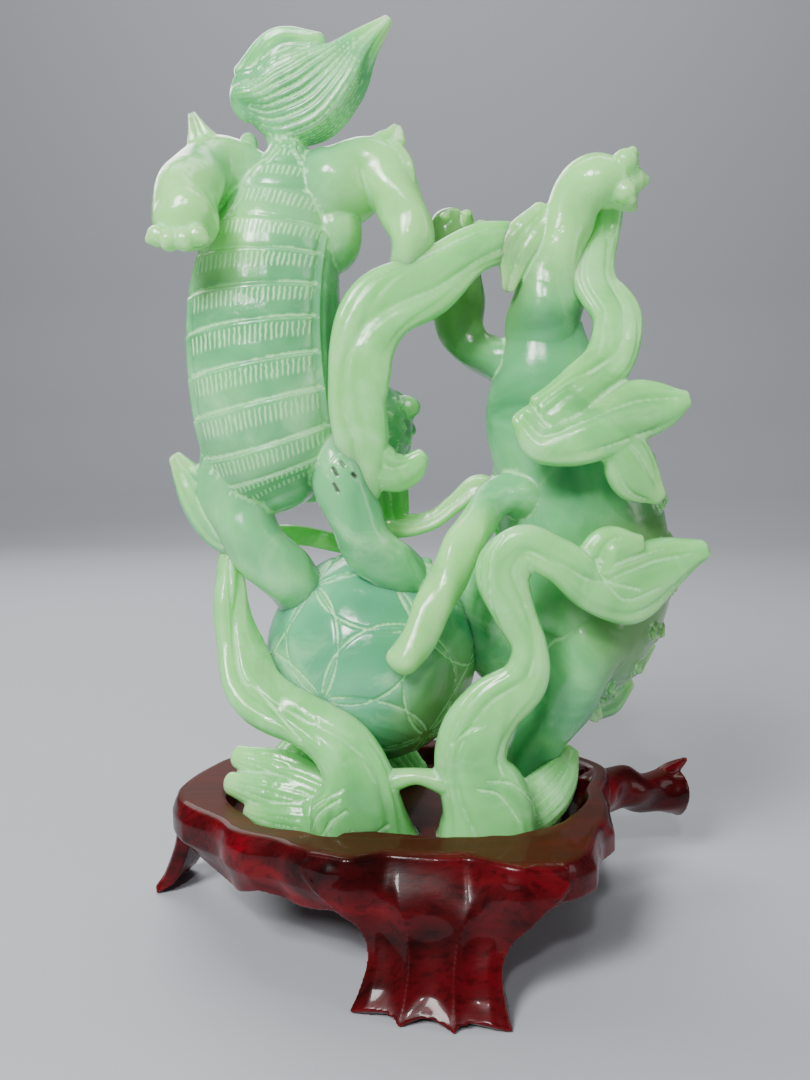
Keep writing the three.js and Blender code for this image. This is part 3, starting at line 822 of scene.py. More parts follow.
@dataclass
class CarvedPiece:
    """A piece that is carved from overlapping forms fused into one skin."""

    name: str
    node: str
    slot: str
    material: bpy.types.Material
    voxel: float = 0.5
    most_faces: int = 190_000
    soften: int = 1
    cuts: Sequence[Cut] = ()
    shift: np.ndarray = field(default_factory=lambda: SHIFT)

    def forms(self) -> list[Form]:
        """The overlapping forms."""
        raise NotImplementedError

    def fuse(self) -> bpy.types.Object:
        """The forms as one closed mesh with its cut lines.

        Returns:
            The finished object, with its modifiers applied.
        """
        obj = Form.joined(self.forms()).to_object(self.name, self.shift)
        coarse = 1.0
        fusing = obj.modifiers.new("fuse", "REMESH")
        fusing.mode, fusing.voxel_size, fusing.use_smooth_shade = "VOXEL", self.voxel * coarse * MM, True
        softening = obj.modifiers.new("soften", "SMOOTH")
        softening.factor, softening.iterations = SOFTENING, self.soften
        self.apply(obj)
        self.engrave(obj.data)
        count = sum(len(p.vertices) - 2 for p in obj.data.polygons)
        if count > self.most_faces:
            thinning = obj.modifiers.new("thin", "DECIMATE")
            thinning.ratio = self.most_faces / count
            self.apply(obj)
        self.mark(obj.data)
        self.finish_marks(obj.data)
        obj.data.materials.clear()
        obj.data.materials.append(self.material)
        obj.data.polygons.foreach_set("use_smooth", np.ones(len(obj.data.polygons), bool))
        LOG.info("%s: %d faces from %d", self.name, len(obj.data.polygons), count)
        return obj

    def finish_marks(self, mesh: bpy.types.Mesh) -> None:
        """Adds what a piece's own finish needs.

        Args:
            mesh: The finished mesh.
        """

    @staticmethod
    def apply(obj: bpy.types.Object) -> None:
        """Makes the object's modifiers part of its mesh.

        Args:
            obj: The object.
        """
        mesh = bpy.data.meshes.new_from_object(obj.evaluated_get(bpy.context.evaluated_depsgraph_get()))
        obj.modifiers.clear()
        old, obj.data = obj.data, mesh
        bpy.data.meshes.remove(old)

    def engrave(self, mesh: bpy.types.Mesh) -> None:
        """Sinks the cut lines into the side that faces the viewer.

        Args:
            mesh: The fused mesh.
        """
        if not self.cuts:
            return
        points, normals = self.read(mesh)
        seen, scale = VIEW.seen(points / MM)
        facing = np.clip(-(unit(points / MM - np.array(VIEW.place)) * normals).sum(1) * 3, 0, 1)
        sink = np.zeros(len(points))
        for cut in self.cuts:
            sink = np.maximum(sink, cut.sink(seen, scale))
        points -= normals * (sink * facing * MM)[:, None]
        mesh.vertices.foreach_set("co", points.ravel())
        mesh.update()

    @staticmethod
    def read(mesh: bpy.types.Mesh) -> tuple[np.ndarray, np.ndarray]:
        """A mesh's points and normals.

        Args:
            mesh: The mesh.

        Returns:
            Points in metres, and normals.
        """
        points, normals = np.empty(3 * len(mesh.vertices)), np.empty(3 * len(mesh.vertices))
        mesh.vertices.foreach_get("co", points)
        mesh.vertex_normals.foreach_get("vector", normals)
        return points.reshape(-1, 3), normals.reshape(-1, 3)

    def mark(self, mesh: bpy.types.Mesh) -> None:
        """Keeps how hollow, sharp, level and thin the skin is at each point, and how dark its cut lines are drawn, as
        attributes.

        Args:
            mesh: The finished mesh.
        """
        points, normals = self.read(mesh)
        points = points / MM
        pairs = np.empty(2 * len(mesh.edges), int)
        mesh.edges.foreach_get("vertices", pairs)
        a, b = pairs.reshape(-1, 2).T
        count = len(points)
        ends, others = np.concatenate([a, b]), np.concatenate([b, a])
        number = np.maximum(np.bincount(ends, minlength=count), 1)
        spread = lambda values: np.bincount(ends, values[others], count) / number
        middle = np.stack([spread(points[:, k]) for k in range(3)], axis=1)
        length = np.bincount(ends, ((points[ends] - points[others]) ** 2).sum(1), count) / number
        hollow = 2 * ((middle - points) * normals).sum(1) / np.maximum(length, 1e-4)
        for _ in range(3):
            hollow = 0.5 * (hollow + spread(hollow))
        marks = {
            "carved": 0.85 * step(0.06, 0.36, hollow), "edge": step(0.15, 0.8, -hollow),
            "level": step(0.75, 0.95, normals[:, 2]),
        }
        if self.slot == "jade":
            marks["thin"] = self.thinness(mesh, points, normals)
        darkened = [cut for cut in self.cuts if cut.darkening]
        if darkened:
            seen, scale = VIEW.seen(points)
            darkenings = [cut.darkening * np.minimum(1, 2 * cut.sink(seen, scale) / cut.depth) for cut in darkened]
            marks["darkening"] = np.max(darkenings, axis=0) * (normals[:, 1] < 0)
        for name, values in marks.items():
            mesh.attributes.new(name, "FLOAT", "POINT").data.foreach_set("value", values.astype(np.float32))

    @staticmethod
    def thinness(mesh: bpy.types.Mesh, points: np.ndarray, normals: np.ndarray) -> np.ndarray:
        """How thin the stone is below each point, because thin stone lets light through.

        Args:
            mesh: The finished mesh.
            points: Its points in millimetres.
            normals: Their normals.

        Returns:
            1 where it is thinner than THIN_DEPTH, 0 where it is thicker than CLEAR_DEPTH.
        """
        tree = BVHTree.FromPolygons((points * MM).tolist(), [p.vertices[:] for p in mesh.polygons])
        below, inward = (points - 0.15 * normals) * MM, -normals
        reach = 3 * CLEAR_DEPTH * MM
        found = [tree.ray_cast(a, b, reach)[3] for a, b in zip(below.tolist(), inward.tolist())]
        deep = np.array([reach if f is None else f for f in found]) / MM
        return step(CLEAR_DEPTH, THIN_DEPTH, deep)

    def build(self) -> bpy.types.Object:
        """Builds the piece and enters it in the frame."""
        obj = self.fuse()
        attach(obj, "root")
        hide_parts(self.node)
        return obj


def strands(count: int, depth: float = 0.45, coarse: int = 0, twist: float = 0.0, height: float = 0.8) -> Relief:
    """Relief of hair: broad locks with fine strands cut in them.

    Args:
        count: Number of fine strands round the form.
        depth: Depth of the cuts between them.
        coarse: Number of broad locks round it.
        twist: How far they wind round it from end to end, in turns.
        height: Height of the broad locks.

    Returns:
        The relief.
    """

    def relief(skin: Skin) -> np.ndarray:
        """Heights of the locks and strands at each point of a skin."""
        turn = skin.turn + 2 * math.pi * twist * skin.along
        return height * np.sin(coarse * turn) - depth * np.abs(np.cos(0.5 * count * turn)) ** 5

    return relief


def silk(crease: float = 1.2, hem: float = 0.72) -> Relief:
    """Relief of a ribbon: folded in along its middle, with a cut line inside each edge.

    Args:
        crease: Depth of the fold.
        hem: Where the lines run, as a share of the half width.

    Returns:
        The relief.
    """

    def relief(skin: Skin) -> np.ndarray:
        """Heights of the hems, folds and ruffles at each point of a skin."""
        side = np.cos(skin.turn)
        hems = -0.35 * bell(np.abs(side) - hem, 0.9 / np.maximum(skin.wide, 1.5))
        hems = hems * (1 + np.sin(skin.run / 21.0))
        drift = 0.42 * np.sin(skin.run / 19.0)
        folds = -1.0 * bell(side - drift, 1.5 / skin.wide)
        folds = folds - 0.4 * bell(side + 0.9 * drift + 0.3, 1.0 / skin.wide)
        swell = (0.4 + 0.09 * skin.wide) * np.sin(skin.run / 6.5 + 1.5 * side) * side**2
        lines = (hems + folds * np.abs(skin.front)) * step(3, 6, skin.wide)
        return lines + swell - crease * 0.4 * np.abs(skin.front) ** 4

    return relief


def muscled(swell: float = 0.7, knuckles: float = 22.0) -> Relief:
    """Relief of a limb: muscles that swell and part along it.

    Args:
        swell: Height of the swelling.
        knuckles: Length of one swelling.

    Returns:
        The relief.
    """
    return lambda skin: swell * np.sin(skin.run / knuckles * 2 * math.pi + skin.turn) * np.cos(skin.turn * 2)


@dataclass
class Head:
    """A lion's head on the far side: broad muzzle, brows, ears and a mane of curls."""

    centre: Sequence[float]
    bearing: float
    nod: float
    size: float

    def placed(self, points: np.ndarray, turn_only: bool = False) -> np.ndarray:
        """Points of the head's own space in the carving's.

        Args:
            points: Points with +X out of the muzzle.
            turn_only: Leaves out size and place.

        Returns:
            The turned points.
        """
        a, b = math.radians(self.bearing), math.radians(self.nod)
        about_z = np.array([[math.cos(a), -math.sin(a), 0], [math.sin(a), math.cos(a), 0], [0, 0, 1]])
        about_y = np.array([[math.cos(b), 0, math.sin(b)], [0, 1, 0], [-math.sin(b), 0, math.cos(b)]])
        turned = points @ (about_z @ about_y).T
        return turned if turn_only else turned * self.size + np.array(self.centre)

    def lump(self, place: Sequence[float], radii: Sequence[float]) -> Form:
        """An ellipsoid of the head.

        Args:
            place: Its middle in the head's space.
            radii: Its radii.

        Returns:
            The form, in the carving's space.
        """
        form = Lump(place, radii, 18).form()
        return Form(self.placed(form.points), form.quads, form.tris)

    def forms(self, material: bpy.types.Material) -> list[Form]:
        """All the forms of the head.

        Args:
            material: The finish of the mane's curls.

        Returns:
            The overlapping forms.
        """
        lumps = [((0, 0, 0), (16.5, 16.5, 16.5)), ((9, 0, -2.5), (9, 9, 6.5)), ((18, 0, 1), (2.6, 4, 2.6)),
                 ((9, 0, -11), (8.5, 6.5, 4)), ((15.5, 0, -6.6), (2.6, 5.5, 1.5))]
        for side in (-1, 1):
            lumps += [((14.5, side * 4.2, -2.5), (4.6, 4.8, 4.2)), ((10.6, side * 6, 4.6), (3.4, 3.4, 3.4)),
                      ((12.9, side * 6.4, 4.8), (1.9, 1.9, 1.9)), ((9, side * 6.4, 8.6), (4, 5.2, 2.4)),
                      ((0, side * 14, 7), (2.6, 6, 4.4)), ((19.6, side * 2, 0.4), (1, 1.2, 1))]
        forms = [self.lump(*lump) for lump in lumps]
        tilt, turn = np.meshgrid(np.radians([62, 84, 106, 128, 152]), np.arange(12), indexing="ij")
        turn = np.radians(30 * (turn + 0.5 * (np.arange(5)[:, None] % 2)))
        out = np.stack([np.cos(tilt), np.sin(tilt) * np.cos(turn), np.sin(tilt) * np.sin(turn)], -1).reshape(-1, 3)
        places = self.placed(16.6 * out)
        forms.append(Scatter(Repeat.CURL, self.size).form(
            places, self.placed(out, True), np.full(len(places), 5.0), material))
        return forms


def toes(paw: Rows, side: Rows, forward: Rows, spread: float, radius: float, count: int = 4) -> list[Form]:
    """A row of toes with claws along an arc round the end of a paw.

    Args:
        paw: Middle of the arc.
        side: Direction across the paw.
        forward: Direction out of it.
        spread: Radius of the arc.
        radius: Radius of a toe.
        count: Number of toes.

    Returns:
        The toes.
    """
    forms = []
    for turn in np.radians(np.linspace(-50, 50, count)):
        out = np.array(side) * math.sin(turn) + np.array(forward) * math.cos(turn)
        forms.append(Lump(np.array(paw) + out * spread, (radius, radius, radius), 16).form())
        forms.append(Lump(np.array(paw) + out * (spread + 0.85 * radius), (radius * 0.45,) * 3, 10).form())
    return forms


@dataclass
class UpperLion(CarvedPiece):
    """The lion that stands on its forepaws on the ball, its belly to the viewer."""

    plates: int = 12
    spine_knobs: int = 13

    @staticmethod
    def borders(along: np.ndarray) -> tuple[np.ndarray, np.ndarray]:
        """Where the two lines run that border the belly.

        Args:
            along: Share of the way down the trunk.

        Returns:
            Distances aside of the middle, left and right.
        """
        right = 15.5 * step(-0.02, 0.26, along) + 1.5 * along + 2.0
        left = -(8.5 * step(-0.02, 0.2, along) + 12.0 * step(0.2, 0.42, along) + 2.0)
        return left, right

    def belly(self, skin: Skin) -> np.ndarray:
        """Relief of the belly: a ladder of raised lines between two borders, hatched below each line.

        Args:
            skin: Where the points lie.

        Returns:
            Heights in millimetres.
        """
        left, right = self.borders(skin.along)
        within = step(-1.0, 1.0, skin.aside - left) * step(-1.0, 1.0, right - skin.aside)
        within = within * (skin.front > 0)
        rung = skin.along * self.plates - 0.1
        fraction = rung - np.floor(rung)
        plate = 9.0 * skin.wide / 22.0
        down = fraction * plate
        ridge = 0.75 * np.exp(-down / 2.0) - 0.45 * bell(down - plate + 0.5, 0.55) - 0.45 * bell(down + 0.5, 0.55)
        borders = sum(
            0.55 * bell(skin.aside - s, 0.6) - 0.5 * bell(np.abs(skin.aside - s) - 1.3, 0.5) for s in (left, right)
        )
        muscle = 0.5 * bell(skin.aside - right - 3.5, 1.0)
        return within * ridge + (borders - muscle) * step(-0.1, 0.3, skin.front)

    def finish_marks(self, mesh: bpy.types.Mesh) -> None:
        """Gives the belly its own attributes, which say where the hatching lies.

        Args:
            mesh: The finished mesh.
        """
        sweep = self.trunk()
        points, _ = sweep.rings()
        rings, sides = points.shape[:2]
        tree = KDTree(rings * sides)
        for index, place in enumerate(points.reshape(-1, 3).tolist()):
            tree.insert(place, index)
        tree.balance()
        own, _ = self.read(mesh)
        found = [tree.find(place) for place in (own / MM - self.shift).tolist()]
        nearest = np.array([f[1] for f in found])
        close = np.array([f[2] for f in found]) < 1.6
        ring, side = np.divmod(nearest, sides)
        skin = sweep.skin
        aside = skin.aside[ring, side]
        along = skin.along[ring, 0]
        left, right = self.borders(skin.along)
        within = close * (skin.front[ring, side] > 0.02)
        within = within * step(1.2, 2.2, aside - left[ring, 0]) * step(1.2, 2.2, right[ring, 0] - aside)
        for name, values in (("aside", aside), ("rung", along * self.plates - 0.1), ("within", within)):
            mesh.attributes.new(name, "FLOAT", "POINT").data.foreach_set("value", values.astype(np.float32))

    def trunk(self) -> Sweep:
        """The trunk from groin to chest."""
        rows = [[-45, 0, 214, 6.5, 6], [-47, 0, 203, 13.2, 12.6], [-51, 0, 186, 21, 19.5], [-53, -1, 168, 23.6, 22],
                [-53, -2, 149, 24.8, 23.5], [-51, -2, 130, 24.2, 23], [-48, 0, 114, 19.4, 19.4],
                [-46, 0, 107, 11.3, 13]]
        return Sweep(rows, self.belly, sides=300, pitch=0.4, cap=0.5, lean=-0.12)

    def forms(self) -> list[Form]:
        """The trunk, limbs, tail, head, curls and toes."""
        trunk = self.trunk()
        limbs = [
            [[-54, 4, 202, 12], [-63, 0, 207, 10.4], [-70, -8, 205, 9.6], [-73, -20, 196, 9.4], [-72, -28, 187, 9.6]],
            [[-38, 2, 198, 13], [-28, 0, 204, 13], [-19, -2, 208, 9.2], [-11, -5, 199, 7.9], [-7, -8, 187, 7],
             [-8, -9, 178, 4.9]],
            [[-63, 0, 124, 9.4], [-65, -2, 111, 10.2], [-60, -4, 96, 9.8], [-50, -4, 83, 9.5], [-43, 0, 75, 9]],
            [[-31, -3, 124, 10], [-28, -11, 110, 9], [-23, -12, 96, 8.5], [-15, -9, 85, 8.6], [-8, -5, 80, 7.7]],
        ]
        flame = [[-57, 2, 231, 8, 6], [-49, 2, 231, 14.6, 8.6], [-39, 1, 232, 15.4, 9.4], [-30, 0, 237, 11, 7.6],
                 [-22, -1, 245, 5.4, 4], [-14, -2, 252, 1.4, 1.4]]
        tufts = [
            [[-57, 3, 236, 6, 4], [-48, 1, 246, 4.6, 4.4], [-35, -1, 246, 2.6, 3]],
            [[-69, -6, 205, 8.5, 4.6], [-70, -6, 212, 6.4, 3.6], [-72, -6, 218, 3, 2.2], [-74, -6, 223, 0.9, 0.9]],
            [[-17, -3, 205, 8, 4], [-15, -4, 212, 6.4, 3.2], [-12, -4, 217, 3.6, 2], [-11, -4, 220, 1.2, 1]],
            [[-13, -5, 212, 4, 3], [-10, -7, 206, 4.4, 3], [-7, -8, 199, 1.6, 1.4]],
            [[-60, -3, 88, 4, 3], [-68, -3, 96, 7, 4], [-75, -3, 107, 6.6, 3.4], [-82, -3, 118, 2, 1.6]],
            [[-68, -3, 104, 5, 3], [-70, -3, 113, 4.6, 3], [-72, -3, 121, 1.6, 1.4]],
        ]
        knobs = np.linspace(0.08, 0.9, self.spine_knobs)
        spine = trunk.seats(knobs, np.full(self.spine_knobs, 270))
        sides = np.array([
            (a, t + 9 * (k % 2)) for k, a in enumerate(np.linspace(0.45, 0.98, 9)) for t in (322, 342, 302, 220, 240)
        ])
        mane = trunk.seats(sides[:, 0], sides[:, 1])
        return [
            trunk.form(),
            *[Sweep(rows, muscled()).form() for rows in limbs],
            Sweep(flame, strands(36, 0.9, 5, 0.16, 0.8), sides=240, pitch=0.4, cap=1.1).form(),
            Sweep([[-46, 1, 211, 5, 5], [-46, 2, 221, 7, 6]], strands(16, 0.4)).form(),
            *[Sweep(rows, strands(14, 0.35, 3), sides=60, pitch=0.5).form() for rows in tufts],
            Lump((-58, 2, 216), (3, 3, 4)).form(),
            Lump((-31, 0, 189), (9, 10, 13)).form(),
            Sweep([[-42, 8, 116, 14], [-32, 22, 124, 13], [-24, 32, 128, 12]]).form(),
            *Head((-22, 34, 128), 68, 8, 1.0).forms(self.material),
            *toes((-73, -31, 184), (1, 0, 0), (0, -0.6, -0.6), 7.4, 3.2),
            *toes((-6, -6, 80), (0, 0.7, 0.7), (1, 0, 0), 5.6, 2.8),
            Scatter(Repeat.KNOB).form(*spine, np.full(self.spine_knobs, 3.0), self.material),
            Scatter(Repeat.CURL).form(*mane, np.full(len(sides), 4.4), self.material),
        ]


@dataclass
class LowerLion(CarvedPiece):
    """The lion that leans on the ball with one hind leg raised."""

    rows_of_curls: int = 9

    def trunk(self) -> Sweep:
        """The trunk from loins to shoulders."""
        rows = [[37, 4, 160, 12, 11], [37, 5, 148, 16, 14], [38, 7, 133, 20, 17], [45, 9, 117, 24.6, 20],
                [51, 11, 97, 27.6, 23], [53, 12, 76, 28, 24], [49, 12, 57, 25, 23], [42, 10, 45, 17, 16]]
        return Sweep(rows, muscled(0.5, 40), sides=160, pitch=0.8, cap=0.5)

    def forms(self) -> list[Form]:
        """The trunk, limbs, tufts, claws, head and mane."""
        trunk = self.trunk()
        limbs = [
            [[36, 4, 154, 12], [37, 2, 168, 11.6], [40, 0, 183, 8.6], [44, -2, 196, 8.1], [50, -4, 203, 8.7],
             [56, -4, 204, 8.0]],
            [[7, 20, 196, 6.4], [8, 20, 183, 9.4], [9, 17, 167, 9], [14, 12, 154, 6.7], [24, 8, 149, 7.5]],
            [[36, 2, 106, 10], [20, -4, 104, 6.2], [7, -17, 86, 6.2], [-1, -23, 70, 5.8], [-9, -27, 57, 5.2]],
            [[53, 0, 62, 14], [47, -4, 47, 11.1], [41, -3, 34, 9.4], [34, 4, 18, 8.8], [40, 10, 7, 9.5]],
        ]
        tufts = [
            [[35, -3, 194, 4, 3.4], [27, -4, 184, 5.8, 3.6], [24, -4, 171, 1.8, 1.6]],
            [[46, -2, 42, 5, 4], [52, 0, 36, 4, 3], [56, 2, 31, 1.4, 1.2]],
            [[20, -2, 104, 3], [14, 0, 107, 2.4, 2], [11, 1, 109, 1, 1]],
            [[40, 14, 158, 6, 5], [43, 24, 172, 9, 5], [46, 22, 188, 3, 2.4]],
            [[56, 14, 34, 7, 4], [63, 18, 36, 7.4, 4], [70, 20, 39, 2.4, 2]],
            [[60, 12, 48, 8, 5], [69, 17, 49, 7.4, 4], [77, 20, 53, 2.4, 2]],
            [[62, 12, 62, 8, 5], [73, 17, 62, 7, 4], [80.5, 20, 66, 2.2, 2]],
        ]
        claws = [Sweep([[x, 19, 188, 3.2], [x, 17, 194, 2.8], [x, 15, top, 1.8]], sides=28).form()
                 for x, top in ((5, 197), (12, 198), (17, 192))]
        seats = np.array([
            (a, t + (10 if k % 2 else 0)) for k, a in enumerate(np.linspace(0.42, 0.97, self.rows_of_curls))
            for t in range(188, 396, 20) if abs(t - 270) > 8
        ])
        mane = trunk.seats(seats[:, 0], seats[:, 1])
        mane[0][:] += mane[1] * 1.0
        spine = trunk.seats(np.linspace(0.05, 0.5, 8), np.full(8, 270))
        return [
            trunk.form(),
            *[Sweep(rows, muscled()).form() for rows in limbs],
            *[Sweep(rows, strands(14, 0.4, 3), sides=60, pitch=0.5).form() for rows in tufts],
            *claws,
            Lump((26, 13, 64), (17, 15, 25)).form(),
            Sweep([[52, 20, 90, 20], [56, 30, 80, 18], [58, 38, 74, 15]]).form(),
            *Head((58, 40, 74), 62, 6, 1.25).forms(self.material),
            *toes((55.5, -4, 204), (0, 0, 1), (1, 0, 0), 6.6, 4.4, 3),
            *toes((55.5, -7, 204), (0, 0, 1), (0.9, -0.4, 0), 6.0, 3.8, 2),
            Scatter(Repeat.KNOB).form(*spine, np.full(8, 3.0), self.material),
            Scatter(Repeat.CURL).form(*mane, np.full(len(seats), 5.6), self.material),
        ]


@dataclass
class SilkRibbons(CarvedPiece):
    """The ribbons that tie the group together, their ends flared and curled."""

    thickness: float = 4.4

    def ribbon(self, rows: Rows) -> Form:
        """One ribbon through stations.

        Args:
            rows: Its stations.

        Returns:
            Its form, stood on the sole.
        """
        sweep = Sweep(rows, silk(), sides=110, pitch=0.6, squareness=0.8, cap=0.6, thickness=self.thickness)
        return sweep.form().stood()

    def forms(self) -> list[Form]:
        """The ribbons, whiskers, knots and webs."""
        ribbons = [
            [[34, 2, 189, 4], [22, -3, 185, 6.6], [12, -6, 181, 7.6], [-1, -10, 173, 9.8], [-14, -13, 164, 11],
             [-22, -15, 151, 10.2], [-24, -15, 137, 9.2], [-21, -14, 124, 8.6], [-22, -13, 112, 7.2],
             [-24, -12, 104, 5]],
            [[-21, -13, 119, 6], [-14, -12, 114, 6.6], [-8, -10, 115, 5.4], [-4, -9, 119, 2.6]],
            [[57, 3, 201, 3.6], [55, 3, 189, 5.2], [51, -5, 173, 7.4], [56, -13, 160, 7.6], [54, -18, 147, 7.6],
             [43, -21, 139, 7.4], [33, -22, 132, 6.4]],
            [[27, -21, 130, 4.8], [33, -23, 123, 6.6], [47, -24, 126, 8.3], [61, -21, 131, 9.4],
             [70, -19, 134, 7], [76, -18, 136, 3]],
            [[19, -22, -4, 17, 12], [16, -25, 9, 14.5, 9], [12, -27, 26, 11.6, 6], [18, -27, 42, 9.6],
             [27, -27, 52, 7.3], [29, -27, 62, 5.6], [25, -27, 73, 6.6], [20, -28, 85, 8.4], [27, -28, 92, 7.3],
             [37, -28, 87, 6.8], [47, -27, 80, 7.6], [59, -24, 80, 11.4], [70, -20, 84, 9.6], [83, -18, 90, 3.2]],
            [[-27, 18, 88, 3, 3], [-42, 18, 90, 3.4, 3], [-57, 12, 91, 3.4, 3], [-65, 0, 88, 3.2, 3.4],
             [-64, -6, 75, 5.6], [-62, -11, 60, 7.8], [-56, -17, 47, 9.4], [-37, -24, 36, 8.8, 5],
             [-25, -27, 25, 10.4, 6], [-22, -27, 13, 14, 8], [-23, -22, -4, 18, 12]],
            [[46, -22, 127, 5, 5], [57, -22, 121, 7.4], [63, -20, 112, 7.6, 4], [69, -18, 106, 3, 2.6]],
            [[48, -26, 84, 6, 4], [53, -26, 92, 6, 4], [62, -24, 93, 3, 3]],
        ]
        whiskers = [[-14, 12, 113, 6, 4], [-13, 7, 103, 5.6, 4], [-11, 4, 95.5, 4.4, 3.4], [0, 0, 97, 3, 3.4],
                    [8, -1, 103, 2.8, 3.2], [15, -2, 108.5, 3.4, 3.2], [22, -3, 106, 3.4, 3.2]]
        return [
            *[self.ribbon(rows) for rows in ribbons],
            Sweep(whiskers, strands(12, 0.35, 3), sides=60, pitch=0.5).form(),
            Lump((38, -15, 130), (9, 8, 7)).form(),
            Sweep([[-14, -26, 19, 4], [-5, -27, 21, 2.6], [4, -27, 19, 4]]).form(),
        ]


@dataclass
class BrocadeBall(CarvedPiece):
    """The ball, cut with a net of overlapping circles that make rosettes."""

    radius: float = 35.5
    centre: tuple[float, float, float] = (-20.0, 10.0, 51.0)
    rosette: tuple[float, float, float] = (-0.26, -0.94, 0.22)
    circle: float = 37.38

    def forms(self) -> list[Form]:
        """The ball with its net of lines."""
        form = Lump(self.centre, (self.radius,) * 3, 260).form()
        out = unit(form.points - np.array(self.centre))
        front = unit(np.array(self.rosette))
        side = unit(np.cross(front, (0.35, 0, 1)))
        basis = np.stack([side, np.cross(front, side), front])
        gold = (1 + math.sqrt(5)) / 2
        corners = [[x, y, z] for x in (-1, 1) for y in (-1, 1) for z in (-1, 1)]
        for a in (-1, 1):
            for b in (-gold, gold):
                corners += [[0, a / gold, b], [a / gold, b, 0], [b, 0, a / gold]]
        lean = math.atan(1 / gold)
        upright = np.array([[1, 0, 0], [0, math.cos(lean), -math.sin(lean)], [0, math.sin(lean), math.cos(lean)]])
        sink = np.zeros(len(out))
        for corner in unit(np.array(corners)) @ upright.T:
            angle = np.degrees(np.arccos(np.clip(out @ (corner @ basis), -1, 1)))
            sink = np.maximum(sink, bell(np.radians(angle - self.circle) * self.radius, 0.55))
        return [Form(form.points - out * 0.65 * sink[:, None], form.quads, form.tris)]


@dataclass
class Groundwork(CarvedPiece):
    """The foot of the carving: a fanned ribbon end, waves and rocks on one flat sole."""

    def forms(self) -> list[Form]:
        """The fan, waves and rocks."""
        leaves = [
            [[-28, -15, 8, 8, 7], [-44, -11, 13, 8, 6], [-56, -6, 15, 5, 4]],
            [[-30, -13, 9, 6, 6], [-47, -10, 16, 7.5, 4], [-63, -5, 20, 4, 2.6]],
            [[-30, -16, 6, 6, 6], [-48, -14, 9, 7.5, 4.5], [-65, -8, 12, 4, 2.6]],
            [[-30, -19, 3, 6, 6], [-45, -18, 3, 7, 4.5], [-58, -13, 4, 4, 2.6]],
        ]
        waves = [[[-50, 2, 0, 13, 10], [-42, 18, 8, 14, 12], [-24, 28, 10, 15, 13], [-8, 32, -2, 10, 8]],
                 [[39, 8, -2, 8, 8], [40, 24, 8, 11, 11], [30, 31, 8, 12, 10], [18, 30, -4, 8, 7]]]
        return [
            *[Sweep(rows, strands(16, 0.4), 120, 0.5, cap=1.1).form().stood() for rows in leaves],
            *[Sweep(rows, strands(24, 0.5, 4), 120, 0.6).form().stood() for rows in waves],
            Lump((-35, -15, 2), (12, 10, 11)).form().stood(),
            Lump((31, -6, 0), (12, 13, 9)).form().stood(),
            Sweep([[24, -16, 2, 8, 7], [34, -13, 7, 9.6, 7], [42, -5, 12, 7.4, 5], [47, 4, 18, 3, 2.6]],
                  strands(24, 0.5, 4), 120, 0.5, cap=1.1).form().stood(),
        ]


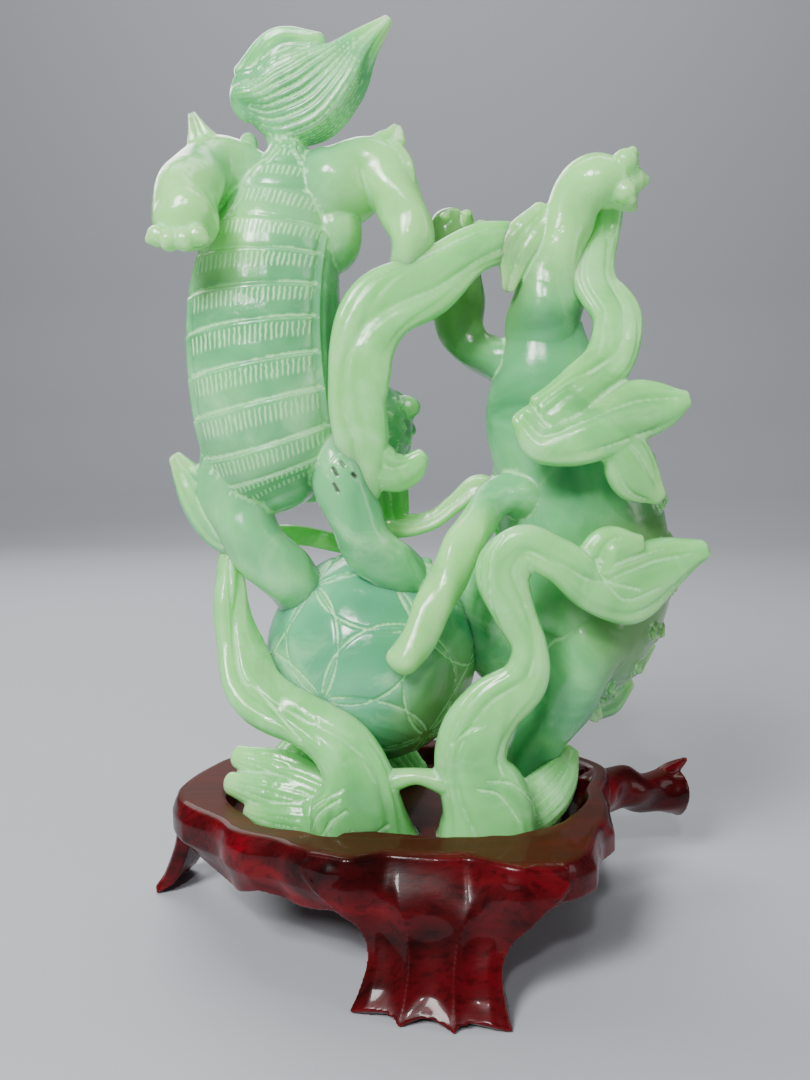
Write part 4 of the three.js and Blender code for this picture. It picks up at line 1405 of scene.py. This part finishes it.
@dataclass
class LacqueredStand(CarvedPiece):
    """The stand: a rim round a recess, over an apron with gouged facets, on four fluted feet."""

    facets: int = 15
    ridge: float = 1.8
    apron: float = 20.0
    flute: float = 2.2
    arch: float = 2.6
    bulge: float = 5.0

    def outline(self, bearing: np.ndarray) -> tuple[np.ndarray, np.ndarray, np.ndarray]:
        """The stand's plan.

        Args:
            bearing: Bearings from +X in degrees.

        Returns:
            Recess radius, rim width and depth of the apron at each bearing.
        """
        table = np.array([
            [0, 51, 7, 0.7], [25, 62, 7, 0.8], [45, 58, 9, 0.9], [68, 50, 10, 0.9], [90, 47, 11, 0.9],
            [116, 50, 14, 1], [135, 58, 14, 1], [157, 64, 19, 0.9], [180, 67, 18, 0.8], [206, 60, 11, 1.05],
            [225, 50, 13, 0.95], [244, 43, 17, 1], [256, 39, 13, 1], [278, 38, 15, 0.95], [293, 40, 25, 0.8],
            [303, 43, 26, 0.7], [330, 47, 13, 0.65], [360, 51, 7, 0.7],
        ])
        place = bearing % 360
        next_row = np.clip(np.searchsorted(table[:, 0], place, side="right"), 1, len(table) - 1)
        low, high = table[next_row - 1], table[next_row]
        t = ((place - low[..., 0]) / (high[..., 0] - low[..., 0]))[..., None]
        blend = (low + (high - low) * t * t * (3 - 2 * t))[..., 1:]
        return blend[..., 0], blend[..., 1], blend[..., 2] * self.apron

    def ring(self, reach: Callable, height: Callable, samples: int = 720) -> np.ndarray:
        """A ring round the stand.

        Args:
            reach: Radius from recess, rim and nearness to a ridge.
            height: Height from the apron's depth and the same nearness.
            samples: Number of points.

        Returns:
            The points.
        """
        bearing = np.arange(samples) * 360 / samples
        recess, rim, drop = self.outline(bearing)
        near = 1 - np.abs(np.sin(np.radians(bearing * self.facets / 2)))
        far = reach(recess, rim, near)
        angle = np.radians(bearing)
        return np.stack([far * np.cos(angle), far * np.sin(angle), height(drop, near) + 0 * far], axis=-1)

    def top(self) -> Form:
        """The rim, recess and apron as one closed skin."""
        top, floor, under = RIM_HEIGHT, RIM_HEIGHT - RECESS_DEPTH, RIM_HEIGHT - 0.7 * self.apron
        flared = lambda share, ridges: lambda r, w, n: share * (r + w) + ridges * self.ridge * n
        rings = [
            self.ring(flared(0.8, 0), lambda d, n: under),
            self.ring(flared(0.93, 1), lambda d, n: top - d + 2.4 * n + 0.6),
            self.ring(flared(0.95, 1), lambda d, n: top - d + 2.4 * n),
            self.ring(flared(0.97, 1.1), lambda d, n: top - 0.8 * d + 1.2 * n),
            self.ring(flared(1.01, 1), lambda d, n: top - 11),
            self.ring(flared(1.012, 0.8), lambda d, n: top - 5),
            self.ring(flared(1, 0.2), lambda d, n: top - 2),
            self.ring(flared(0.99, 0.1), lambda d, n: top - 0.7),
            self.ring(flared(0.97, 0), lambda d, n: top),
            self.ring(lambda r, w, n: r + 2.2, lambda d, n: top),
            self.ring(lambda r, w, n: r + 1.0, lambda d, n: top - 0.9),
            self.ring(lambda r, w, n: r - 0.5, lambda d, n: floor + 1),
            self.ring(lambda r, w, n: r - 1.2, lambda d, n: floor),
        ]
        fine = [rings[0]]
        for a, b in zip(rings[:-1], rings[1:]):
            steps = max(1, int(np.linalg.norm(a - b, axis=-1).max() / 1.2))
            fine += [a + (b - a) * k / steps for k in range(1, steps + 1)]
        return Form.skin(np.array(fine), np.array([0, 0, under]), np.array([0, 0, floor]))

    def foot(self, bearing: float, flutes: int, reach: float, width: float, aside: float) -> Form:
        """A fluted foot that sweeps out from under the rim.

        Args:
            bearing: Its bearing in degrees from +X.
            flutes: Number of hollow flutes down its front.
            reach: How far its toe reaches.
            width: Width of its toe.
            aside: How far it stands aside of the bearing.

        Returns:
            The foot.
        """
        recess, rim, _ = (float(v[0]) for v in self.outline(np.array([bearing])))
        profile = np.array([[0, 1, 1, 0.36], [0.14, 0.8, 0.9, 0.34], [0.32, 0.6, 0.84, 0.34],
                            [0.5, 0.44, 0.96, 0.36], [0.66, 0.3, 1.24, 0.4], [0.84, 0, 1.5, 0.4],
                            [0.98, 0, 1.5, 0.4]])
        fine = through(profile, np.linspace(0, 1, 70))
        fine[:, 0] = np.clip(fine[:, 0], 0, 0.98)
        rings = []
        for up, out, wide, thick in fine:
            outer = recess + rim + 1 + (reach - recess - rim - 1) * out
            deep = thick * width
            share = np.linspace(-0.5, 0.5, 161)
            flutings = np.abs(np.sin(math.pi * flutes * (share + 0.5))) ** 0.8
            rounded = 2.2 * step(0.4, 0.5, np.abs(share))
            front, side = outer - 0.5 * deep * share**2 - rounded, aside + share * wide * width
            reached = np.hypot(front, side)
            recess_here, rim_here, _ = self.outline(bearing + np.degrees(np.arctan2(side, front)))
            merge, fade = float(step(0.3, 0.8, np.array(up))), float(step(1.04, 0.56, np.array(up)))
            crest = recess_here + rim_here + (3.9 + self.bulge * (1 - 4 * share**2)) * fade
            hollow = self.flute * flutings * (1 - 0.3 * merge) * fade
            merged = (reached + (crest - reached) * merge - hollow) / reached
            back = np.linspace(0.44, -0.44, 41)
            arch = self.arch * np.concatenate([flutings, np.ones(41)]) * max(0.0, 1 - up / 0.16)
            x = np.concatenate([front * merged, np.full(41, outer - min(deep, rim + 4))])
            y = np.concatenate([side * merged, aside + back * wide * width])
            rings.append(np.stack([x, y, up * RIM_HEIGHT + arch], axis=-1))
        rings = np.array(rings)
        a = math.radians(bearing)
        turn = np.array([[math.cos(a), -math.sin(a), 0], [math.sin(a), math.cos(a), 0], [0, 0, 1]])
        rings = rings @ turn.T
        return Form.skin(rings, rings[0].mean(axis=0), rings[-1].mean(axis=0))

    def forms(self) -> list[Form]:
        """The top, feet and root."""
        feet = [(258, 3, 70, 46, 12), (166, 2, 99.5, 24, 0), (47, 2, 84, 34, 0), (118, 2, 74, 34, 0)]
        root = Sweep([[54, 16, 33, 7.4, 7], [66, 27, 33, 8, 6.4], [79, 35, 29, 7.2, 6.4], [88, 40, 27, 8, 7.6],
                      [94, 42, 27, 9, 8.6]], muscled(0.8, 18), 80, cap=0.15)
        thorn = Sweep([[86, 40, 31, 4], [92, 42, 35, 3], [97.5, 43, 38.5, 1]], sides=40)
        return [self.top(), *[self.foot(*f) for f in feet], root.form(), thorn.form()]


@dataclass(frozen=True)
class Studio:
    """Plain pale floor and soft light."""

    floor_colour: Colour = (0.40, 0.42, 0.46)
    world: Colour = (0.80, 0.80, 0.82)
    world_strength: float = 0.11

    def floor(self) -> bpy.types.Object:
        """The floor, which sweeps up behind."""
        bend = [(-3.0, 0.0), (1.2, 0.0), (1.6, 0.05), (1.9, 0.22), (2.05, 0.5), (2.1, 2.6)]
        points = [(x, y, z) for y, z in bend for x in (-3.5, 3.5)]
        faces = [(2 * k, 2 * k + 1, 2 * k + 3, 2 * k + 2) for k in range(len(bend) - 1)]
        mesh = bpy.data.meshes.new("studio_floor")
        mesh.from_pydata(points, [], faces)
        mesh.polygons.foreach_set("use_smooth", [True] * len(faces))
        obj = bpy.data.objects.new("studio_floor", mesh)
        bpy.context.scene.collection.objects.link(obj)
        material = bpy.data.materials.new("pale_floor")
        material.use_nodes = True
        shader = material.node_tree.nodes["Principled BSDF"]
        shader.inputs["Base Color"].default_value = (*self.floor_colour, 1)
        shader.inputs["Roughness"].default_value = 0.7
        mesh.materials.append(material)
        return obj

    def light(self, name: str, place: Sequence[float], size: tuple[float, float], power: float, warm: float,
              aim: Sequence[float] = (0, 0, 0.14)) -> None:
        """One soft rectangular light.

        Args:
            name: Its name.
            place: Its place in metres.
            size: Its width and height in metres.
            power: Its power in watts.
            warm: Warmth from 0 to 1.
            aim: What it faces.
        """
        data = bpy.data.lights.new(name, "AREA")
        data.shape, data.size, data.size_y = "RECTANGLE", *size
        data.energy = power
        data.color = (1.0, 1.0 - 0.1 * warm, 1.0 - 0.25 * warm)
        obj = bpy.data.objects.new(name, data)
        obj.location = place
        obj.rotation_euler = (Vector(aim) - Vector(place)).to_track_quat("-Z", "Y").to_euler()
        bpy.context.scene.collection.objects.link(obj)

    def build(self) -> None:
        """Floor, lights, world and camera."""
        VIEW.camera()
        self.floor()
        self.light("window_light", (-0.5, -0.8, 0.85), (0.3, 0.42), 19.5, 0.1)
        self.light("lamp", (-0.12, -1.0, 0.8), (0.07, 0.07), 4.2, 0.1)
        self.light("side_light", (0.95, -0.35, 0.5), (0.3, 0.8), 2.2, 0.2)
        self.light("back_light", (-0.4, 0.8, 0.8), (0.8, 0.6), 8.0, 0.2)
        self.light("wall_light", (0.0, 0.6, 2.2), (2.0, 0.6), 30.0, 0.1, (0.0, 2.0, 0.9))
        world = bpy.data.worlds.new("studio")
        world.use_nodes = True
        ground = world.node_tree.nodes["Background"]
        ground.inputs[0].default_value = (*self.world, 1)
        ground.inputs[1].default_value = self.world_strength
        bpy.context.scene.world = world


UPPER_LION_CUTS = (
    Cut([(328, 476), (332, 460), (344, 453), (358, 457), (365, 470)], 0.3, 0.25),
    # the last number of a cut says how far its groove is drawn darker
    Cut([(333, 468), (337, 475)], 0.45, 0.6, 0.9), Cut([(334, 484), (338, 491)], 0.45, 0.6, 0.9),
    Cut([(341, 462), (344, 466)], 0.45, 0.6, 0.7), Cut([(353, 474), (355, 476)], 0.5, 0.7, 1.0),
)
RIBBON_CUTS = (
    Cut([(229, 560), (235, 640), (243, 680), (258, 690), (300, 740)], 0.7, 0.7),
    Cut([(309, 836), (318, 815), (340, 800)], 0.6, 0.6), Cut([(298, 828), (314, 806), (343, 790)], 0.5, 0.5),
    Cut([(322, 836), (332, 822), (346, 812)], 0.5, 0.5), Cut([(352, 832), (368, 838), (388, 826)], 0.5, 0.5),
    Cut([(478, 790), (500, 796), (520, 822)], 0.5, 0.5), Cut([(488, 782), (512, 784), (534, 802)], 0.5, 0.5),
    Cut([(452, 745), (470, 730), (486, 726)], 0.5, 0.4),
    Cut([(490, 540), (480, 560), (480, 600)], 0.5, 0.5),
    Cut([(504, 536), (492, 556), (490, 600), (500, 630)], 0.5, 0.5),
    Cut([(596, 560), (606, 580), (640, 590)], 0.5, 0.5), Cut([(600, 575), (625, 600), (660, 588)], 0.45, 0.4),
)


def main() -> None:
    """Builds every piece in order."""
    logging.basicConfig(level=logging.INFO, format="%(name)s %(message)s")
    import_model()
    Studio().build()
    group = JadeFinish(
        # the painted light spots are highlights painted on the raised hind paw and along a foreleg
        "jade_group", painted_light_spots=(
            (0.052, -0.003, 0.24, 0.05), (-0.008, -0.026, 0.093, 0.022), (0.001, -0.021, 0.108, 0.02),
            (0.010, -0.015, 0.123, 0.022),
        ),
        # the painted shade spots darken a bent back leg, the lower belly and a low spot at the back
        painted_shade_spots=((0.008, 0.018, 0.215, 0.045), (0.074, -0.004, 0.108, 0.045), (0.03, 0.03, 0.06, 0.035)),
    ).material()
    # the painted light spots are highlights painted on both forepaws and a foreleg
    belly_stone = JadeFinish("jade_belly", hatched=True, painted_light_spots=(
        (-0.072, -0.028, 0.222, 0.03), (-0.070, 0.0, 0.244, 0.02), (-0.008, -0.005, 0.232, 0.034),
    )).material()
    silk_stone = JadeFinish("jade_ribbons", (0.12, 0.46, 0.14), (0.21, 0.66, 0.205), (0.32, 0.80, 0.31)).material()
    ball_stone = JadeFinish("jade_ball", (0.063, 0.35, 0.17), (0.105, 0.48, 0.245), (0.19, 0.62, 0.31),
                            # painted shade on the lower right front of the ball
                            painted_shade_spots=((0.012, -0.012, 0.068, 0.036),)).material()
    lacquer = LacquerFinish().material()
    for piece in (
        UpperLion("upper_lion", "jade_carving", "jade", belly_stone, 0.42, cuts=UPPER_LION_CUTS),
        LowerLion("lower_lion", "jade_carving", "jade", group, 0.5),
        SilkRibbons("silk_ribbons", "jade_carving", "jade", silk_stone, 0.5, cuts=RIBBON_CUTS),
        BrocadeBall("brocade_ball", "jade_carving", "jade", ball_stone, 0.4, 120_000),
        Groundwork("groundwork", "jade_carving", "jade", silk_stone, 0.5, 120_000),
        LacqueredStand("lacquered_stand", "wood_stand", "rosewood", lacquer, 0.55, 160_000, 6, shift=STAND_SHIFT),
    ):
        piece.build()


if __name__ == "__main__":
    main()
